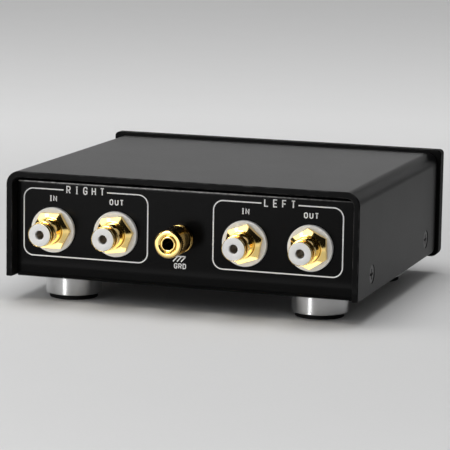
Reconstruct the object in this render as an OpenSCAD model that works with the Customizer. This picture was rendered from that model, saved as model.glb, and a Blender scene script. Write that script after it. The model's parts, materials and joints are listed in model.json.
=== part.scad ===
// Moving coil step-up transformer: a small audio box with phono sockets and a ground post on its rear.
// The front faces -Y, the rear faces +Y and the rubber pads stand on Z = 0. All sizes are in millimetres.
// Right and left are those of a person who looks at the front.

/* [Cover] */
// Width over the cover's sides
case_w = 130; // [124:1:150]
// Length from the cover's rear rim to the front panel
case_l = 112; // [106:1:140]
// Height of the cover's sides
case_h = 38; // [37:0.5:48]
// Sheet thickness of the cover
cover_t = 2.3; // [1.8:0.1:2.8]
// Outer radius of the cover's top bends
cover_r = 4.9; // [3:0.1:6]
// Rounding of the cover's lower front corners
cover_corner_r = 4.5; // [2:0.5:6]

/* [Chassis] */
// Depth of the rear panel inside the cover's rear rim
recess = 4.4; // [2:0.2:7]
// Sheet thickness of the chassis
chassis_t = 1.5; // [1.2:0.1:2]
// Inner radius of the chassis bends
bend_r = 0.4; // [0.2:0.1:1]
// Height of the chassis side flanges
flange_h = 15; // [12:1:20]
// Width of the lips folded in at the top of the front and rear walls
lip_w = 8; // [5:1:10]
// Gap between the chassis and the cover
cover_gap = 0.15; // [0.1:0.05:0.4]
// How far the chassis stands out below the cover's sides
chassis_drop = 0.6; // [0.2:0.1:1.2]

/* [Front panel] */
// Thickness of the front panel
front_t = 5; // [4:0.5:8]
// How far the front panel stands out past each side of the cover
front_side = 1.3; // [0.5:0.1:3]
// How far the front panel stands out above the cover
front_over = 0.9; // [0.2:0.1:3]
// How far the front panel reaches below the cover
front_under = 2.2; // [0.2:0.1:4]
// Radius of the front panel's upper corners
front_top_r = 1.5; // [0.5:0.5:4]
// Radius of the front panel's lower corners
front_low_r = 3; // [0.5:0.5:5]
// Distance of the front panel screws from the cover's sides
front_screw_side = 15; // [10:1:25]
// Height of the lower front panel screws above the case bottom
front_screw_low = 8; // [6:1:12]
// Distance of the upper front panel screws below the case top
front_screw_top = 10; // [8:1:14]
// Metal left in front of the front panel's blind screw holes
front_skin = 1.2; // [0.8:0.1:2]

/* [Feet] */
// Diameter of a foot
foot_d = 20.2; // [18:0.2:26]
// Height of a foot's metal
foot_h = 6.7; // [6.5:0.1:12]
// Chamfer round a foot's lower edge
foot_chamfer = 0.2; // [0.2:0.1:1]
// Distance of the feet's axes from the cover's sides
foot_side = 18.7; // [16:0.1:26]
// Distance of the rear feet from the cover's rear rim
foot_rear = 18.6; // [16:0.2:24]
// Distance of the front feet from the front panel
foot_front = 17; // [14:0.5:24]
// Diameter of a rubber pad
pad_d = 17.4; // [12:0.2:18]
// Thickness of a rubber pad
pad_t = 2.5; // [2.2:0.1:2.8]
// How far a pad stands out below its foot
pad_out = 1.7; // [1:0.1:1.9]

/* [Screws] */
// Thread diameter of the small screws
screw_d = 3; // [2.5:0.1:3.4]
// Head diameter of the small pan screws
pan_d = 5.6; // [5:0.1:6.5]
// Head height of the small pan screws
pan_h = 2; // [1.5:0.1:2.4]
// Head diameter of the countersunk cover screws
sunk_d = 6.6; // [5.4:0.1:7]
// Depth of the countersunk heads
sunk_h = 1.6; // [1.2:0.1:1.7]
// Width across the arms of the cross recess
cross_w = 3.2; // [2:0.1:4]
// Width of one arm of the cross recess
cross_arm = 0.8; // [0.4:0.1:1]
// Depth of the cross recess
cross_depth = 0.9; // [0.5:0.1:1.1]
// Length of thread that a screw shows past its hole
screw_past = 1.5; // [0.5:0.1:3]
// Distance of the rear cover screws from the cover's rear rim
side_screw_rear = 18.4; // [12:0.2:24]
// Distance of the front cover screws from the front panel
side_screw_front = 15.6; // [12:0.2:24]
// Height of the cover screws above the case bottom
side_screw_z = 7; // [6:0.5:8]
// Thread diameter of the foot screws
foot_screw_d = 4; // [3:0.1:5]
// Head diameter of the foot screws
foot_head_d = 8; // [6.5:0.1:9]
// Head height of the foot screws
foot_head_h = 2.6; // [2:0.1:3]
// Width across the flats of the foot nuts
foot_nut_af = 7; // [6:0.5:9]
// Thickness of the foot nuts
foot_nut_t = 3.2; // [2.5:0.1:4]

/* [Sockets] */
// Sideways place of the socket layout on the rear panel
layout_x = 0.9; // [-2:0.1:2]
// Height of the socket axes above the case bottom
socket_z = 17.2; // [16.5:0.1:20]
// Distance of the inner sockets from the middle of the layout
socket_near = 23.9; // [20:0.1:27]
// Distance of the outer sockets from the middle of the layout
socket_far = 47.6; // [45:0.1:49]
// Length of a socket outside the rear panel
socket_len = 13.5; // [12.5:0.1:18]
// Diameter of a shell's front ring
shell_d = 8.3; // [8.2:0.1:8.6]
// Length of a shell's front ring
shell_ring = 1.6; // [1.5:0.1:2.5]
// Width of the groove behind the front ring
groove_w = 1.6; // [1:0.1:2]
// Diameter at the bottom of the groove
groove_d = 7.2; // [7.1:0.1:7.6]
// Chamfer on a shell's front edge
shell_chamfer = 0.1; // [0.05:0.05:0.15]
// Outer diameter of a shell's thread
thread_d = 9; // [8.6:0.1:9.6]
// Pitch of a shell's thread
thread_pitch = 0.8; // [0.6:0.1:1]
// Depth of a shell's thread
thread_depth = 0.25; // [0.15:0.05:0.5]
// Diameter of the flange at a shell's inner end
shell_flange_d = 12.4; // [11:0.1:14]
// Thickness of that flange
shell_flange_t = 1.5; // [1:0.1:2]
// Diameter of the white head in a shell's mouth
head_d = 7.8; // [7.2:0.05:7.8]
// Length of the white head
head_len = 1.2; // [0.8:0.1:1.3]
// Diameter of the insulator behind its head
insulator_d = 6.2; // [5.8:0.1:6.4]
// Diameter of the hole in the insulator's front
pin_hole_d = 3.4; // [3.3:0.05:3.8]
// Length of that front hole
pin_lip = 1.5; // [1:0.1:2]
// Outer diameter of a centre contact
contact_d = 4.5; // [4.1:0.1:4.8]
// Bore of a centre contact
contact_bore = 3.3; // [3.2:0.05:3.6]
// Depth of a centre contact's bore
contact_depth = 11; // [9:0.5:12]
// Diameter of a contact's solder tail
tail_d = 2; // [1.5:0.1:2.5]
// Length of a contact's solder tail
tail_len = 5; // [3:0.5:7]
// Width across the flats of a socket nut
nut_af = 12.5; // [11.5:0.1:13.5]
// Thickness of a socket nut
nut_t = 2.5; // [2:0.1:3]
// Height of the cone on a socket nut's face
nut_cone = 1.1; // [0.6:0.1:1.2]
// Height of the chamfer on the other nuts' corners
nut_chamfer = 0.6; // [0.3:0.1:0.8]
// Diameter of a white insulating washer
washer_d = 16.2; // [15.8:0.1:18]
// Thickness of a white insulating washer
washer_t = 1.5; // [1:0.1:2]
// Diameter of an inner insulating bush
bush_d = 14; // [12.5:0.5:16]
// Thickness of an inner insulating bush
bush_t = 1.2; // [0.8:0.1:2]
// Diameter of a socket's hole in the rear panel
panel_hole_d = 10.6; // [10.4:0.1:11.4]
// Outer diameter of a solder tag's ring
tag_d = 12; // [11:0.5:13]
// Thickness of a solder tag
tag_t = 0.5; // [0.4:0.1:0.8]
// Width of a solder tag's ear
tag_ear_w = 3.5; // [2.5:0.1:4]
// Reach of a solder tag's ear from the socket axis
tag_reach = 10.5; // [9:0.5:12]

/* [Ground post] */
// Diameter of the ground knob
knob_d = 10; // [9:0.1:12]
// Distance of the knob's front face from the rear panel
knob_out = 13.2; // [12.5:0.1:18]
// Length of the knob's plain front ring
knob_ring = 1.9; // [1:0.1:2.5]
// Width of the groove behind the front ring
knob_groove_w = 0.7; // [0.4:0.1:1]
// Depth of that groove
knob_groove = 0.5; // [0.2:0.1:0.8]
// Width of the bevel round the knob's bore
knob_bevel = 0.7; // [0.3:0.1:0.9]
// Chamfer on the knob's edges
knob_chamfer = 0.3; // [0.1:0.1:0.5]
// Diameter of the hollow stud
stud_d = 5.4; // [5.2:0.1:6]
// Diameter of the banana hole in the stud
stud_bore = 4.1; // [4:0.05:4.3]
// Depth of the banana hole
stud_depth = 10; // [8:0.5:11]
// How far the stud's end lies inside the knob's front face
stud_inset = 0.3; // [0.1:0.1:1]
// Diameter of the flange that seats on the rear panel
collar_d = 10.2; // [9.6:0.1:13]
// Thickness of that flange
collar_t = 1.2; // [0.8:0.1:2]
// Thread diameter of the stud's inner end
stud_tail_d = 5; // [4:0.1:5.2]
// Length of the stud's inner end
stud_tail = 8; // [7:0.5:10]
// Diameter of the clamp washer
clamp_d = 9.4; // [8:0.1:11]
// Thickness of the clamp washer
clamp_t = 0.8; // [0.6:0.1:1.2]
// Width across the flats of the ground nut
ground_nut_af = 8; // [7.5:0.5:10]
// Thickness of the ground nut
ground_nut_t = 4; // [3:0.1:4.5]
// Running clearance between the stud and what turns or slides on it
run_gap = 0.05; // [0.03:0.01:0.1]
// Clearance between the faces of the collar, the clamp washer and the knob
face_gap = 0.1; // [0.05:0.05:0.2]

/* [Transformers] */
// Distance of the can axes from the rear panel
can_back = 46; // [44:1:52]
// Diameter of a shield can
can_d = 34; // [33:1:36]
// Wall of a shield can
can_wall = 0.8; // [0.6:0.1:1.2]
// Room above a can, under the chassis lips
can_room = 6.9; // [6:0.1:9]
// Thickness of a can base
base_t = 2; // [1.5:0.1:3]
// Height of the step that centres the can on its base
base_step = 1.5; // [1.2:0.1:1.8]
// Distance of the can screws from the can axis
can_screw_x = 10; // [8:0.5:12]
// Width of the laminated core
core_w = 24; // [23:0.5:25]
// Room between the core and the lid of its can
core_room = 1.7; // [1.2:0.1:2.5]
// Thickness of the lamination stack
core_t = 8; // [7:0.5:9]
// Wall of a bobbin
bobbin_wall = 0.6; // [0.5:0.1:0.8]
// Thickness of a bobbin's flanges
bobbin_flange = 0.8; // [0.6:0.1:1.2]
// How far a bobbin's flanges reach past the core's stack
bobbin_reach = 4.4; // [4.2:0.1:5]
// Gap between the windings and the core's side limbs
winding_gap = 0.75; // [0.4:0.05:1]
// Share of the winding room that the primary fills
primary_share = 0.46; // [0.3:0.02:0.6]
// Diameter of a grommet's neck
grommet_d = 12; // [11.8:0.1:13]
// Bore of a grommet
grommet_bore = 9.8; // [9.6:0.1:10.2]
// Diameter of a grommet's flange
grommet_flange_d = 13.4; // [13:0.1:14]
// Thickness of a grommet's flange
grommet_flange = 1; // [0.6:0.1:1.4]
// Distance of a grommet's axis behind the can axis
grommet_y = 6.4; // [6.2:0.1:6.8]

/* [Leads] */
// Diameter of an insulated lead
lead_d = 1.1; // [0.8:0.1:1.3]
// Spacing of the leads in a grommet
lead_step = 2.6; // [2:0.1:2.7]
// Length of a lead's straight ends
lead_stub = 1.5; // [1:0.1:3]
// Reach of a lead's first curve towards the front
lead_reach = 8; // [5:0.5:12]
// How much lower a contact's lead is bent than its tag's lead, so that they pass each other
lead_part = 3.5; // [2.5:0.5:5]

/* [Hidden] */
$fn = 64;
// Overlap of a cut past the face that it opens
cut = 1;
// Radial clearance of threads and seats that don't move
fit = 0.05;
// Clearance under the cover's top
top_gap = 0.4;
// Sides, and steps along its curve, of a lead
lead_sides = 8;
lead_steps = 7;
// Angles at which the socket nuts were tightened
nut_angles = [1, 8, 19, 33];

tray_z = foot_h + pad_out;
base_z = tray_z + chassis_drop;
floor_z = tray_z + chassis_t;
socket_axis_z = base_z + socket_z;
socket_past = socket_len - recess;
rear_y = (front_t + case_l + socket_past) / 2 - socket_past;
front_y = rear_y - case_l;
panel_y = rear_y - recess;
chassis_w = case_w - 2 * (cover_t + cover_gap);
chassis_h = chassis_drop + case_h - cover_t - top_gap;
chassis_l = panel_y - front_y;
ceiling_z = tray_z + chassis_h - chassis_t;
chassis_corner_r = cover_r - cover_t;
front_screw_x = case_w / 2 - front_screw_side;
front_screw_zs = [front_screw_low, case_h - front_screw_top];
foot_x = case_w / 2 - foot_side;
screw_hole = screw_d + 2 * fit;
foot_screw_hole = foot_screw_d + 2 * fit;

SOCKETS = ["right_in", "right_out", "left_in", "left_out"];
socket_xs = [for (x = [socket_far, socket_near, -socket_near, -socket_far]) layout_x + x];
CHANNELS = ["right", "left"];
channel_xs = [for (side = [1, -1]) layout_x + side * (socket_near + socket_far) / 2];
FEET = ["rear_right", "rear_left", "front_right", "front_left"];
foot_ys = [rear_y - foot_rear, front_y + foot_front];
foot_places = [for (y = foot_ys) for (side = [1, -1]) [side * foot_x, y]];

seat_in = chassis_t + bush_t + tag_t;
shell_in = seat_in + shell_flange_t;
thread_start = washer_t + nut_t;
ring_start = socket_len - shell_ring;
groove_start = ring_start - groove_w;
thread_turns = floor((groove_start - thread_start) / thread_pitch);
contact_front = socket_len - pin_lip;

clamp_start = collar_t + face_gap;
knob_start = clamp_start + clamp_t + face_gap;
stud_end = knob_out - stud_inset;
knob_bore = stud_d + 2 * run_gap;

can_y = panel_y - can_back;
base_top = floor_z + base_t;
core_z = base_top + base_step;
can_top = ceiling_z - can_room;
can_h = can_top - base_top;
core_h = can_h - can_wall - base_step - core_room;
// The laminations waste no sheet: windows, yokes and side limbs are all half as wide as the middle limb
yoke = core_w / 6;
limb_w = 2 * yoke;
window_h = core_h - 2 * yoke;
winding_room = yoke - fit - bobbin_wall - winding_gap;
primary_t = primary_share * winding_room;
bobbin_hole = limb_w + 2 * fit;
bobbin_hole_y = core_t + 2 * fit;
bobbin_h = window_h - 2 * fit;
bobbin_z = core_z + yoke + fit;
winding_h = bobbin_h - 2 * bobbin_flange;
flange_w = core_w - 2 * yoke - 2 * fit;
flange_l = core_t + 2 * bobbin_reach;
lead_land_z = bobbin_z + bobbin_h;
lead_clear_z = can_top + grommet_flange + lead_stub;
// A can screw stops halfway up its base's step
can_screw_l = chassis_t + base_t + base_step / 2;

// Shared shapes

// Flat outline with rounded upper and lower corners, standing on its lower edge
module rounded_outline(w, h, top_r, low_r) {
    translate([-w / 2, low_r]) square([w, h - top_r - low_r]);
    translate([-w / 2 + top_r, h / 2]) square([w - 2 * top_r, h / 2]);
    translate([-w / 2 + low_r, 0]) square([w - 2 * low_r, h / 2]);
    for (side = [-1, 1]) {
        translate([side * (w / 2 - top_r), h - top_r]) circle(top_r);
        if (low_r > 0) translate([side * (w / 2 - low_r), low_r]) circle(low_r);
    }
}

// Stands an outline up, so that it runs along Y from y0 to y1
module along_y(y0, y1) {
    translate([0, y1, base_z]) rotate([90, 0, 0]) linear_extrude(y1 - y0) children();
}

// Ring of a given outer and inner diameter
module ring(outer, inner, h) {
    difference() {
        cylinder(d = outer, h = h);
        translate([0, 0, -cut]) cylinder(d = inner, h = h + 2 * cut);
    }
}

// Hex nut with its far corners chamfered
module hex_nut(af, hole, h, chamfer) {
    corner_d = af / cos(30);
    difference() {
        intersection() {
            cylinder(d = corner_d, h = h, $fn = 6);
            union() {
                cylinder(d = corner_d, h = h - chamfer);
                translate([0, 0, h - chamfer])
                    cylinder(d1 = corner_d, d2 = corner_d - 4 * chamfer, h = chamfer);
            }
        }
        translate([0, 0, -cut]) cylinder(d = hole, h = h + 2 * cut);
    }
}

// Cross recess, cut down from Z = 0
module cross_recess() {
    for (turn = [0, 90]) rotate(turn)
        translate([-cross_w / 2, -cross_arm / 2, -cross_depth])
            cube([cross_w, cross_arm, cross_depth + cut]);
}

// Pan screw with its head above Z = 0 and its shank below
module pan_screw(d, head_d, head_h, shank) {
    difference() {
        union() {
            cylinder(d = head_d, h = head_h);
            translate([0, 0, -shank]) cylinder(d = d, h = shank);
        }
        translate([0, 0, head_h]) cross_recess();
    }
}

// Block with a rectangular hole through it along Z
module sleeve(outer, inner, h) {
    difference() {
        translate([-outer[0] / 2, -outer[1] / 2, 0]) cube([outer[0], outer[1], h]);
        translate([-inner[0] / 2, -inner[1] / 2, -cut]) cube([inner[0], inner[1], h + 2 * cut]);
    }
}

// Places on the case

// Puts a child on a socket's axis, with +Z out of the rear panel
module at_socket(k) {
    translate([socket_xs[k], panel_y, socket_axis_z]) rotate([-90, 0, 0]) children();
}

module at_ground() {
    translate([layout_x, panel_y, socket_axis_z]) rotate([-90, 0, 0]) children();
}

// Puts a child at each cover screw, with +Z out of the cover's side
module at_cover_screws() {
    for (side = [-1, 1]) for (y = [rear_y - side_screw_rear, front_y + side_screw_front])
        translate([side * case_w / 2, y, base_z + side_screw_z]) rotate([0, side * 90, 0]) children();
}

// Puts a child at each front panel screw on the front wall's inner face, with +Z into the case
module at_front_screws() {
    for (x = [-front_screw_x, front_screw_x]) for (z = front_screw_zs)
        translate([x, front_y + chassis_t, base_z + z]) rotate([-90, 0, 0]) children();
}

// Puts a child at each can screw on the case bottom, with +Z down
module at_can_screws() {
    for (x = channel_xs) for (side = [-1, 1])
        translate([x + side * can_screw_x, can_y, tray_z]) rotate([180, 0, 0]) children();
}

// Puts a child at each foot's place, at a given height
module at_feet(z) {
    for (place = foot_places) translate([place[0], place[1], z]) children();
}

// Puts a child on a can's axis, at a given height
module at_can(k, z) {
    translate([channel_xs[k], can_y, z]) children();
}

// Case

module top_cover() {
    color("dimgray") difference() {
        along_y(front_y, rear_y) difference() {
            rounded_outline(case_w, case_h, cover_r, 0);
            translate([0, -cut])
                rounded_outline(case_w - 2 * cover_t, case_h - cover_t + cut, cover_r - cover_t, 0);
        }
        at_cover_screws() {
            translate([0, 0, -sunk_h]) cylinder(d1 = screw_d, d2 = sunk_d + 2 * fit, h = sunk_h);
            cylinder(d = sunk_d + 2 * fit, h = cut);
            translate([0, 0, -cover_t - cut]) cylinder(d = screw_hole, h = cover_t + 2 * cut);
        }
        for (side = [-1, 1]) translate([side * (case_w - cover_t) / 2, front_y, base_z]) lower_corner_cut();
    }
}

// What is cut off a cover side to round its lower front corner
module lower_corner_cut() {
    wide = cover_t + 2 * cut;
    difference() {
        translate([-wide / 2, -cut, -cut]) cube([wide, cover_corner_r + cut, cover_corner_r + cut]);
        translate([-wide, cover_corner_r, cover_corner_r]) rotate([0, 90, 0])
            cylinder(r = cover_corner_r, h = 2 * wide);
    }
}

// Outline of the chassis from the side, with bent rear corners
module chassis_outline() {
    outer_r = bend_r + chassis_t;
    translate([front_y, 0]) square([chassis_l - outer_r, chassis_h]);
    translate([front_y, outer_r]) square([chassis_l, chassis_h - 2 * outer_r]);
    for (z = [outer_r, chassis_h - outer_r]) translate([panel_y - outer_r, z]) circle(outer_r);
}

module chassis() {
    inner_w = chassis_w - 2 * chassis_t;
    inner_l = chassis_l - 2 * chassis_t;
    color("#1b1b1d") difference() {
        intersection() {
            translate([-chassis_w / 2, 0, tray_z]) rotate([90, 0, 90])
                linear_extrude(chassis_w) chassis_outline();
            translate([0, 0, -chassis_drop]) along_y(front_y, panel_y)
                rounded_outline(chassis_w, chassis_h, chassis_corner_r, 0);
        }
        translate([-inner_w / 2, front_y + chassis_t, floor_z])
            cube([inner_w, inner_l, chassis_h - 2 * chassis_t]);
        translate([-chassis_w / 2 - cut, front_y + chassis_t, tray_z + flange_h])
            cube([chassis_w + 2 * cut, inner_l, chassis_h - flange_h - chassis_t]);
        translate([-chassis_w / 2 - cut, front_y + lip_w, tray_z + flange_h])
            cube([chassis_w + 2 * cut, chassis_l - 2 * lip_w, chassis_h]);
        for (k = [0 : 3]) at_socket(k) panel_hole(panel_hole_d);
        at_ground() panel_hole(stud_tail_d + 2 * fit);
        at_cover_screws() translate([0, 0, -cover_t - cover_gap - chassis_t - cut])
            cylinder(d = screw_hole, h = chassis_t + 2 * cut);
        at_front_screws() panel_hole(screw_hole);
        at_can_screws() panel_hole(screw_hole);
        at_feet(floor_z) panel_hole(foot_screw_hole);
    }
}

// Hole through the chassis sheet, which lies below or above Z = 0
module panel_hole(d) {
    translate([0, 0, -chassis_t - cut]) cylinder(d = d, h = 2 * (chassis_t + cut));
}

module front_panel() {
    h = case_h + front_over + front_under;
    color("#232325") difference() {
        translate([0, 0, -front_under]) along_y(front_y - front_t, front_y)
            rounded_outline(case_w + 2 * front_side, h, front_top_r, front_low_r);
        at_front_screws() translate([0, 0, -chassis_t - front_t + front_skin])
            cylinder(d = screw_hole, h = front_t);
    }
}

module front_panel_screws() {
    shank = chassis_t + front_t - front_skin - fit;
    color("silver") at_front_screws() pan_screw(screw_d, pan_d, pan_h, shank);
}

module cover_screws() {
    shank = cover_t + cover_gap + chassis_t + screw_past;
    color("#151515") at_cover_screws() difference() {
        union() {
            translate([0, 0, -sunk_h]) cylinder(d1 = screw_d - 2 * fit, d2 = sunk_d, h = sunk_h);
            translate([0, 0, -shank]) cylinder(d = screw_d - 2 * fit, h = shank - sunk_h);
        }
        cross_recess();
    }
}

// Feet

module foot(k) {
    pad_seat = pad_t - pad_out;
    color("gainsboro") translate([foot_places[k][0], foot_places[k][1], pad_out]) difference() {
        union() {
            cylinder(d1 = foot_d - 2 * foot_chamfer, d2 = foot_d, h = foot_chamfer);
            translate([0, 0, foot_chamfer]) cylinder(d = foot_d, h = foot_h - foot_chamfer);
        }
        translate([0, 0, -cut]) cylinder(d = pad_d + 2 * fit, h = pad_seat + cut);
        translate([0, 0, -cut]) cylinder(d = foot_head_d + 2 * fit, h = pad_seat + foot_head_h + cut);
        translate([0, 0, -cut]) cylinder(d = foot_screw_hole, h = foot_h + 2 * cut);
    }
}

module pad(k) {
    color("#101010") translate([foot_places[k][0], foot_places[k][1], 0]) cylinder(d = pad_d, h = pad_t);
}

module foot_screws() {
    shank = foot_h - (pad_t - pad_out) - foot_head_h + chassis_t + foot_nut_t + screw_past;
    color("silver") at_feet(pad_t + foot_head_h) rotate([180, 0, 0])
        pan_screw(foot_screw_d, foot_head_d, foot_head_h, shank);
}

module foot_nuts() {
    color("silver") at_feet(floor_z) hex_nut(foot_nut_af, foot_screw_hole, foot_nut_t, nut_chamfer);
}

// Sockets

// Half outline of a shell, from its inner end to its mouth and back along its bore
function shell_outline() = concat(
    [
        [insulator_d / 2 + fit, -shell_in],
        [shell_flange_d / 2, -shell_in],
        [shell_flange_d / 2, -seat_in],
        [thread_d / 2, -seat_in],
        [thread_d / 2, thread_start]
    ],
    [for (i = [0 : thread_turns - 1]) each [
        [thread_d / 2 - thread_depth, thread_start + (i + 0.5) * thread_pitch],
        [thread_d / 2, thread_start + (i + 1) * thread_pitch]
    ]],
    [
        [thread_d / 2, groove_start],
        [groove_d / 2, groove_start],
        [groove_d / 2, ring_start],
        [shell_d / 2, ring_start],
        [shell_d / 2, socket_len - shell_chamfer],
        [shell_d / 2 - shell_chamfer, socket_len],
        [head_d / 2 + fit, socket_len],
        [head_d / 2 + fit, socket_len - head_len],
        [insulator_d / 2 + fit, socket_len - head_len]
    ]
);

module socket_shell(k) {
    color("gold") at_socket(k) rotate_extrude() polygon(shell_outline());
}

module socket_insulator(k) {
    color("white") at_socket(k) difference() {
        union() {
            translate([0, 0, -shell_in]) cylinder(d = insulator_d, h = shell_in + socket_len);
            translate([0, 0, socket_len - head_len]) cylinder(d = head_d, h = head_len);
        }
        cylinder(d = pin_hole_d, h = socket_len + cut);
        translate([0, 0, -shell_in - cut])
            cylinder(d = contact_d + 2 * fit, h = shell_in + cut + contact_front);
    }
}

module socket_contact(k) {
    color("goldenrod") at_socket(k) difference() {
        union() {
            translate([0, 0, -shell_in]) cylinder(d = contact_d, h = shell_in + contact_front);
            translate([0, 0, -shell_in - tail_len]) cylinder(d = tail_d, h = tail_len);
        }
        translate([0, 0, contact_front - contact_depth])
            cylinder(d = contact_bore, h = contact_depth + cut);
    }
}

module socket_nuts() {
    color("gold") for (k = [0 : 3]) at_socket(k) translate([0, 0, washer_t]) rotate(nut_angles[k])
        hex_nut(nut_af, thread_d + 2 * fit, nut_t, nut_cone);
}

// Flat washer with a shoulder that fills half of the panel's hole
module shouldered_washer(d, h) {
    ring(d, thread_d + 2 * fit, h);
    translate([0, 0, -chassis_t / 2]) ring(panel_hole_d - 2 * fit, thread_d + 2 * fit, chassis_t / 2);
}

module socket_washers() {
    color("whitesmoke") for (k = [0 : 3]) at_socket(k) shouldered_washer(washer_d, washer_t);
}

module socket_bushes() {
    color("whitesmoke") for (k = [0 : 3]) at_socket(k) translate([0, 0, -chassis_t]) mirror([0, 0, 1])
        shouldered_washer(bush_d, bush_t);
}

module socket_tags() {
    color("silver") for (k = [0 : 3]) at_socket(k) translate([0, 0, -seat_in]) difference() {
        union() {
            cylinder(d = tag_d, h = tag_t);
            translate([-tag_ear_w / 2, -tag_reach, 0]) cube([tag_ear_w, tag_reach, tag_t]);
        }
        translate([0, 0, -cut]) cylinder(d = thread_d + 2 * fit, h = tag_t + 2 * cut);
    }
}

// Ground post

module ground_stud() {
    color("gold") at_ground() difference() {
        union() {
            translate([0, 0, -stud_tail]) cylinder(d = stud_tail_d, h = stud_tail);
            cylinder(d = collar_d, h = collar_t);
            cylinder(d = stud_d, h = stud_end);
        }
        translate([0, 0, stud_end - stud_depth]) cylinder(d = stud_bore, h = stud_depth + cut);
    }
}

module ground_nut() {
    color("silver") at_ground() translate([0, 0, -chassis_t]) mirror([0, 0, 1])
        hex_nut(ground_nut_af, stud_tail_d + 2 * fit, ground_nut_t, nut_chamfer);
}

module clamp_washer() {
    color("gold") at_ground() translate([0, 0, clamp_start]) ring(clamp_d, knob_bore, clamp_t);
}

module ground_knob() {
    r = knob_d / 2;
    bore_r = knob_bore / 2;
    groove_end = knob_out - knob_ring;
    color("gold") at_ground() rotate_extrude() polygon([
        [bore_r, knob_start],
        [r - knob_chamfer, knob_start],
        [r, knob_start + knob_chamfer],
        [r, groove_end - knob_groove_w],
        [r - knob_groove, groove_end - knob_groove_w],
        [r - knob_groove, groove_end],
        [r, groove_end],
        [r, knob_out - knob_chamfer],
        [r - knob_chamfer, knob_out],
        [bore_r + knob_bevel, knob_out],
        [bore_r, knob_out - knob_bevel]
    ]);
}

// Transformers

module can(k) {
    color("darkgray") at_can(k, base_top) difference() {
        cylinder(d = can_d, h = can_h);
        translate([0, 0, -cut]) cylinder(d = can_d - 2 * can_wall, h = can_h - can_wall + cut);
        translate([0, grommet_y, 0]) cylinder(d = grommet_d + 2 * fit, h = can_h + cut);
    }
}

module can_base(k) {
    color("gray") difference() {
        at_can(k, floor_z) {
            cylinder(d = can_d, h = base_t);
            cylinder(d = can_d - 2 * can_wall - 2 * fit, h = base_t + base_step);
        }
        at_can_screws() translate([0, 0, -can_screw_l - fit]) cylinder(d = screw_hole, h = can_screw_l);
    }
}

module can_screws() {
    color("silver") at_can_screws() pan_screw(screw_d, pan_d, pan_h, can_screw_l);
}

module grommet(k) {
    color("#202020") at_can(k, can_top) translate([0, grommet_y, 0]) {
        ring(grommet_flange_d, grommet_bore, grommet_flange);
        translate([0, 0, -can_wall]) ring(grommet_d, grommet_bore, can_wall);
    }
}

module core(k) {
    color("slategray") at_can(k, core_z) difference() {
        translate([-core_w / 2, -core_t / 2, 0]) cube([core_w, core_t, core_h]);
        for (x = [-limb_w / 2 - yoke, limb_w / 2]) translate([x, -core_t / 2 - cut, yoke])
            cube([yoke, core_t + 2 * cut, window_h]);
    }
}

module bobbin(k) {
    tube = [bobbin_hole + 2 * bobbin_wall, bobbin_hole_y + 2 * bobbin_wall];
    hole = [bobbin_hole, bobbin_hole_y];
    color("ivory") at_can(k, bobbin_z) {
        sleeve(tube, hole, bobbin_h);
        for (z = [0, bobbin_h - bobbin_flange]) translate([0, 0, z])
            sleeve([flange_w, flange_l], hole, bobbin_flange);
    }
}

// A winding between two depths on the bobbin's tube
module winding(k, inner_t, outer_t) {
    x = bobbin_hole + 2 * bobbin_wall;
    y = bobbin_hole_y + 2 * bobbin_wall;
    at_can(k, bobbin_z + bobbin_flange)
        sleeve([x + 2 * outer_t, y + 2 * outer_t], [x + 2 * inner_t, y + 2 * inner_t], winding_h);
}

module primary(k) {
    color("chocolate") winding(k, 0, primary_t);
}

module secondary(k) {
    color("peru") winding(k, primary_t, winding_room);
}

// Leads

function unit(v) = v / norm(v);
function bezier(a, b, c, d, t) =
    pow(1 - t, 3) * a + 3 * t * pow(1 - t, 2) * b + 3 * t * t * (1 - t) * c + pow(t, 3) * d;

// Route from a terminal's face, up under the cover and down through the grommet to the bobbin
function lead_route(from, land, lower) =
    let (
        start = from - [0, lead_stub, 0],
        over = [land[0], land[1], lead_clear_z],
        peak_z = ceiling_z - lead_d,
        rise = [start[0], start[1] - lead_reach, peak_z - lower],
        turn = [land[0], land[1], peak_z]
    )
    concat([from], [for (i = [0 : lead_steps]) bezier(start, rise, turn, over, i / lead_steps)], [land]);

function route_way(route, i) =
    i == 0 ? [0, -1, 0] : i == len(route) - 1 ? [0, 0, -1] : unit(route[i + 1] - route[i - 1]);

// One ring of points round a route, square to its way there
function lead_ring(route, i) =
    let (way = route_way(route, i), side = unit(cross(way, [1, 0, 0])), up = cross(way, side))
    [for (j = [0 : lead_sides - 1])
        let (a = 360 * j / lead_sides)
        route[i] + lead_d / 2 * (cos(a) * side + sin(a) * up)];

module lead_tube(route) {
    n = lead_sides;
    last = (len(route) - 1) * n;
    points = [for (i = [0 : len(route) - 1]) each lead_ring(route, i)];
    sides = [for (i = [0 : len(route) - 2]) for (j = [0 : n - 1])
        let (a = i * n + j, b = i * n + (j + 1) % n) each [[a, a + n, b], [b, a + n, b + n]]];
    ends = [for (j = [1 : n - 2]) each [[0, j, j + 1], [last, last + j + 1, last + j]]];
    polyhedron(points, concat(sides, ends));
}

// A socket's pair of leads: one from the centre contact, one from the solder tag
module socket_lead(k) {
    channel = floor(k / 2);
    side = sign(socket_xs[k] - channel_xs[channel]);
    land = [channel_xs[channel], can_y + grommet_y, lead_land_z];
    contact_end = [socket_xs[k], panel_y - shell_in - tail_len, socket_axis_z];
    tag_face = [socket_xs[k], panel_y - seat_in, socket_axis_z + tag_reach - tag_ear_w / 2];
    color("firebrick") lead_tube(lead_route(contact_end, land + [side * lead_step / 2, 0, 0], lead_part));
    color("black") lead_tube(lead_route(tag_face, land + [side * lead_step * 3 / 2, 0, 0], 0));
}

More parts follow.
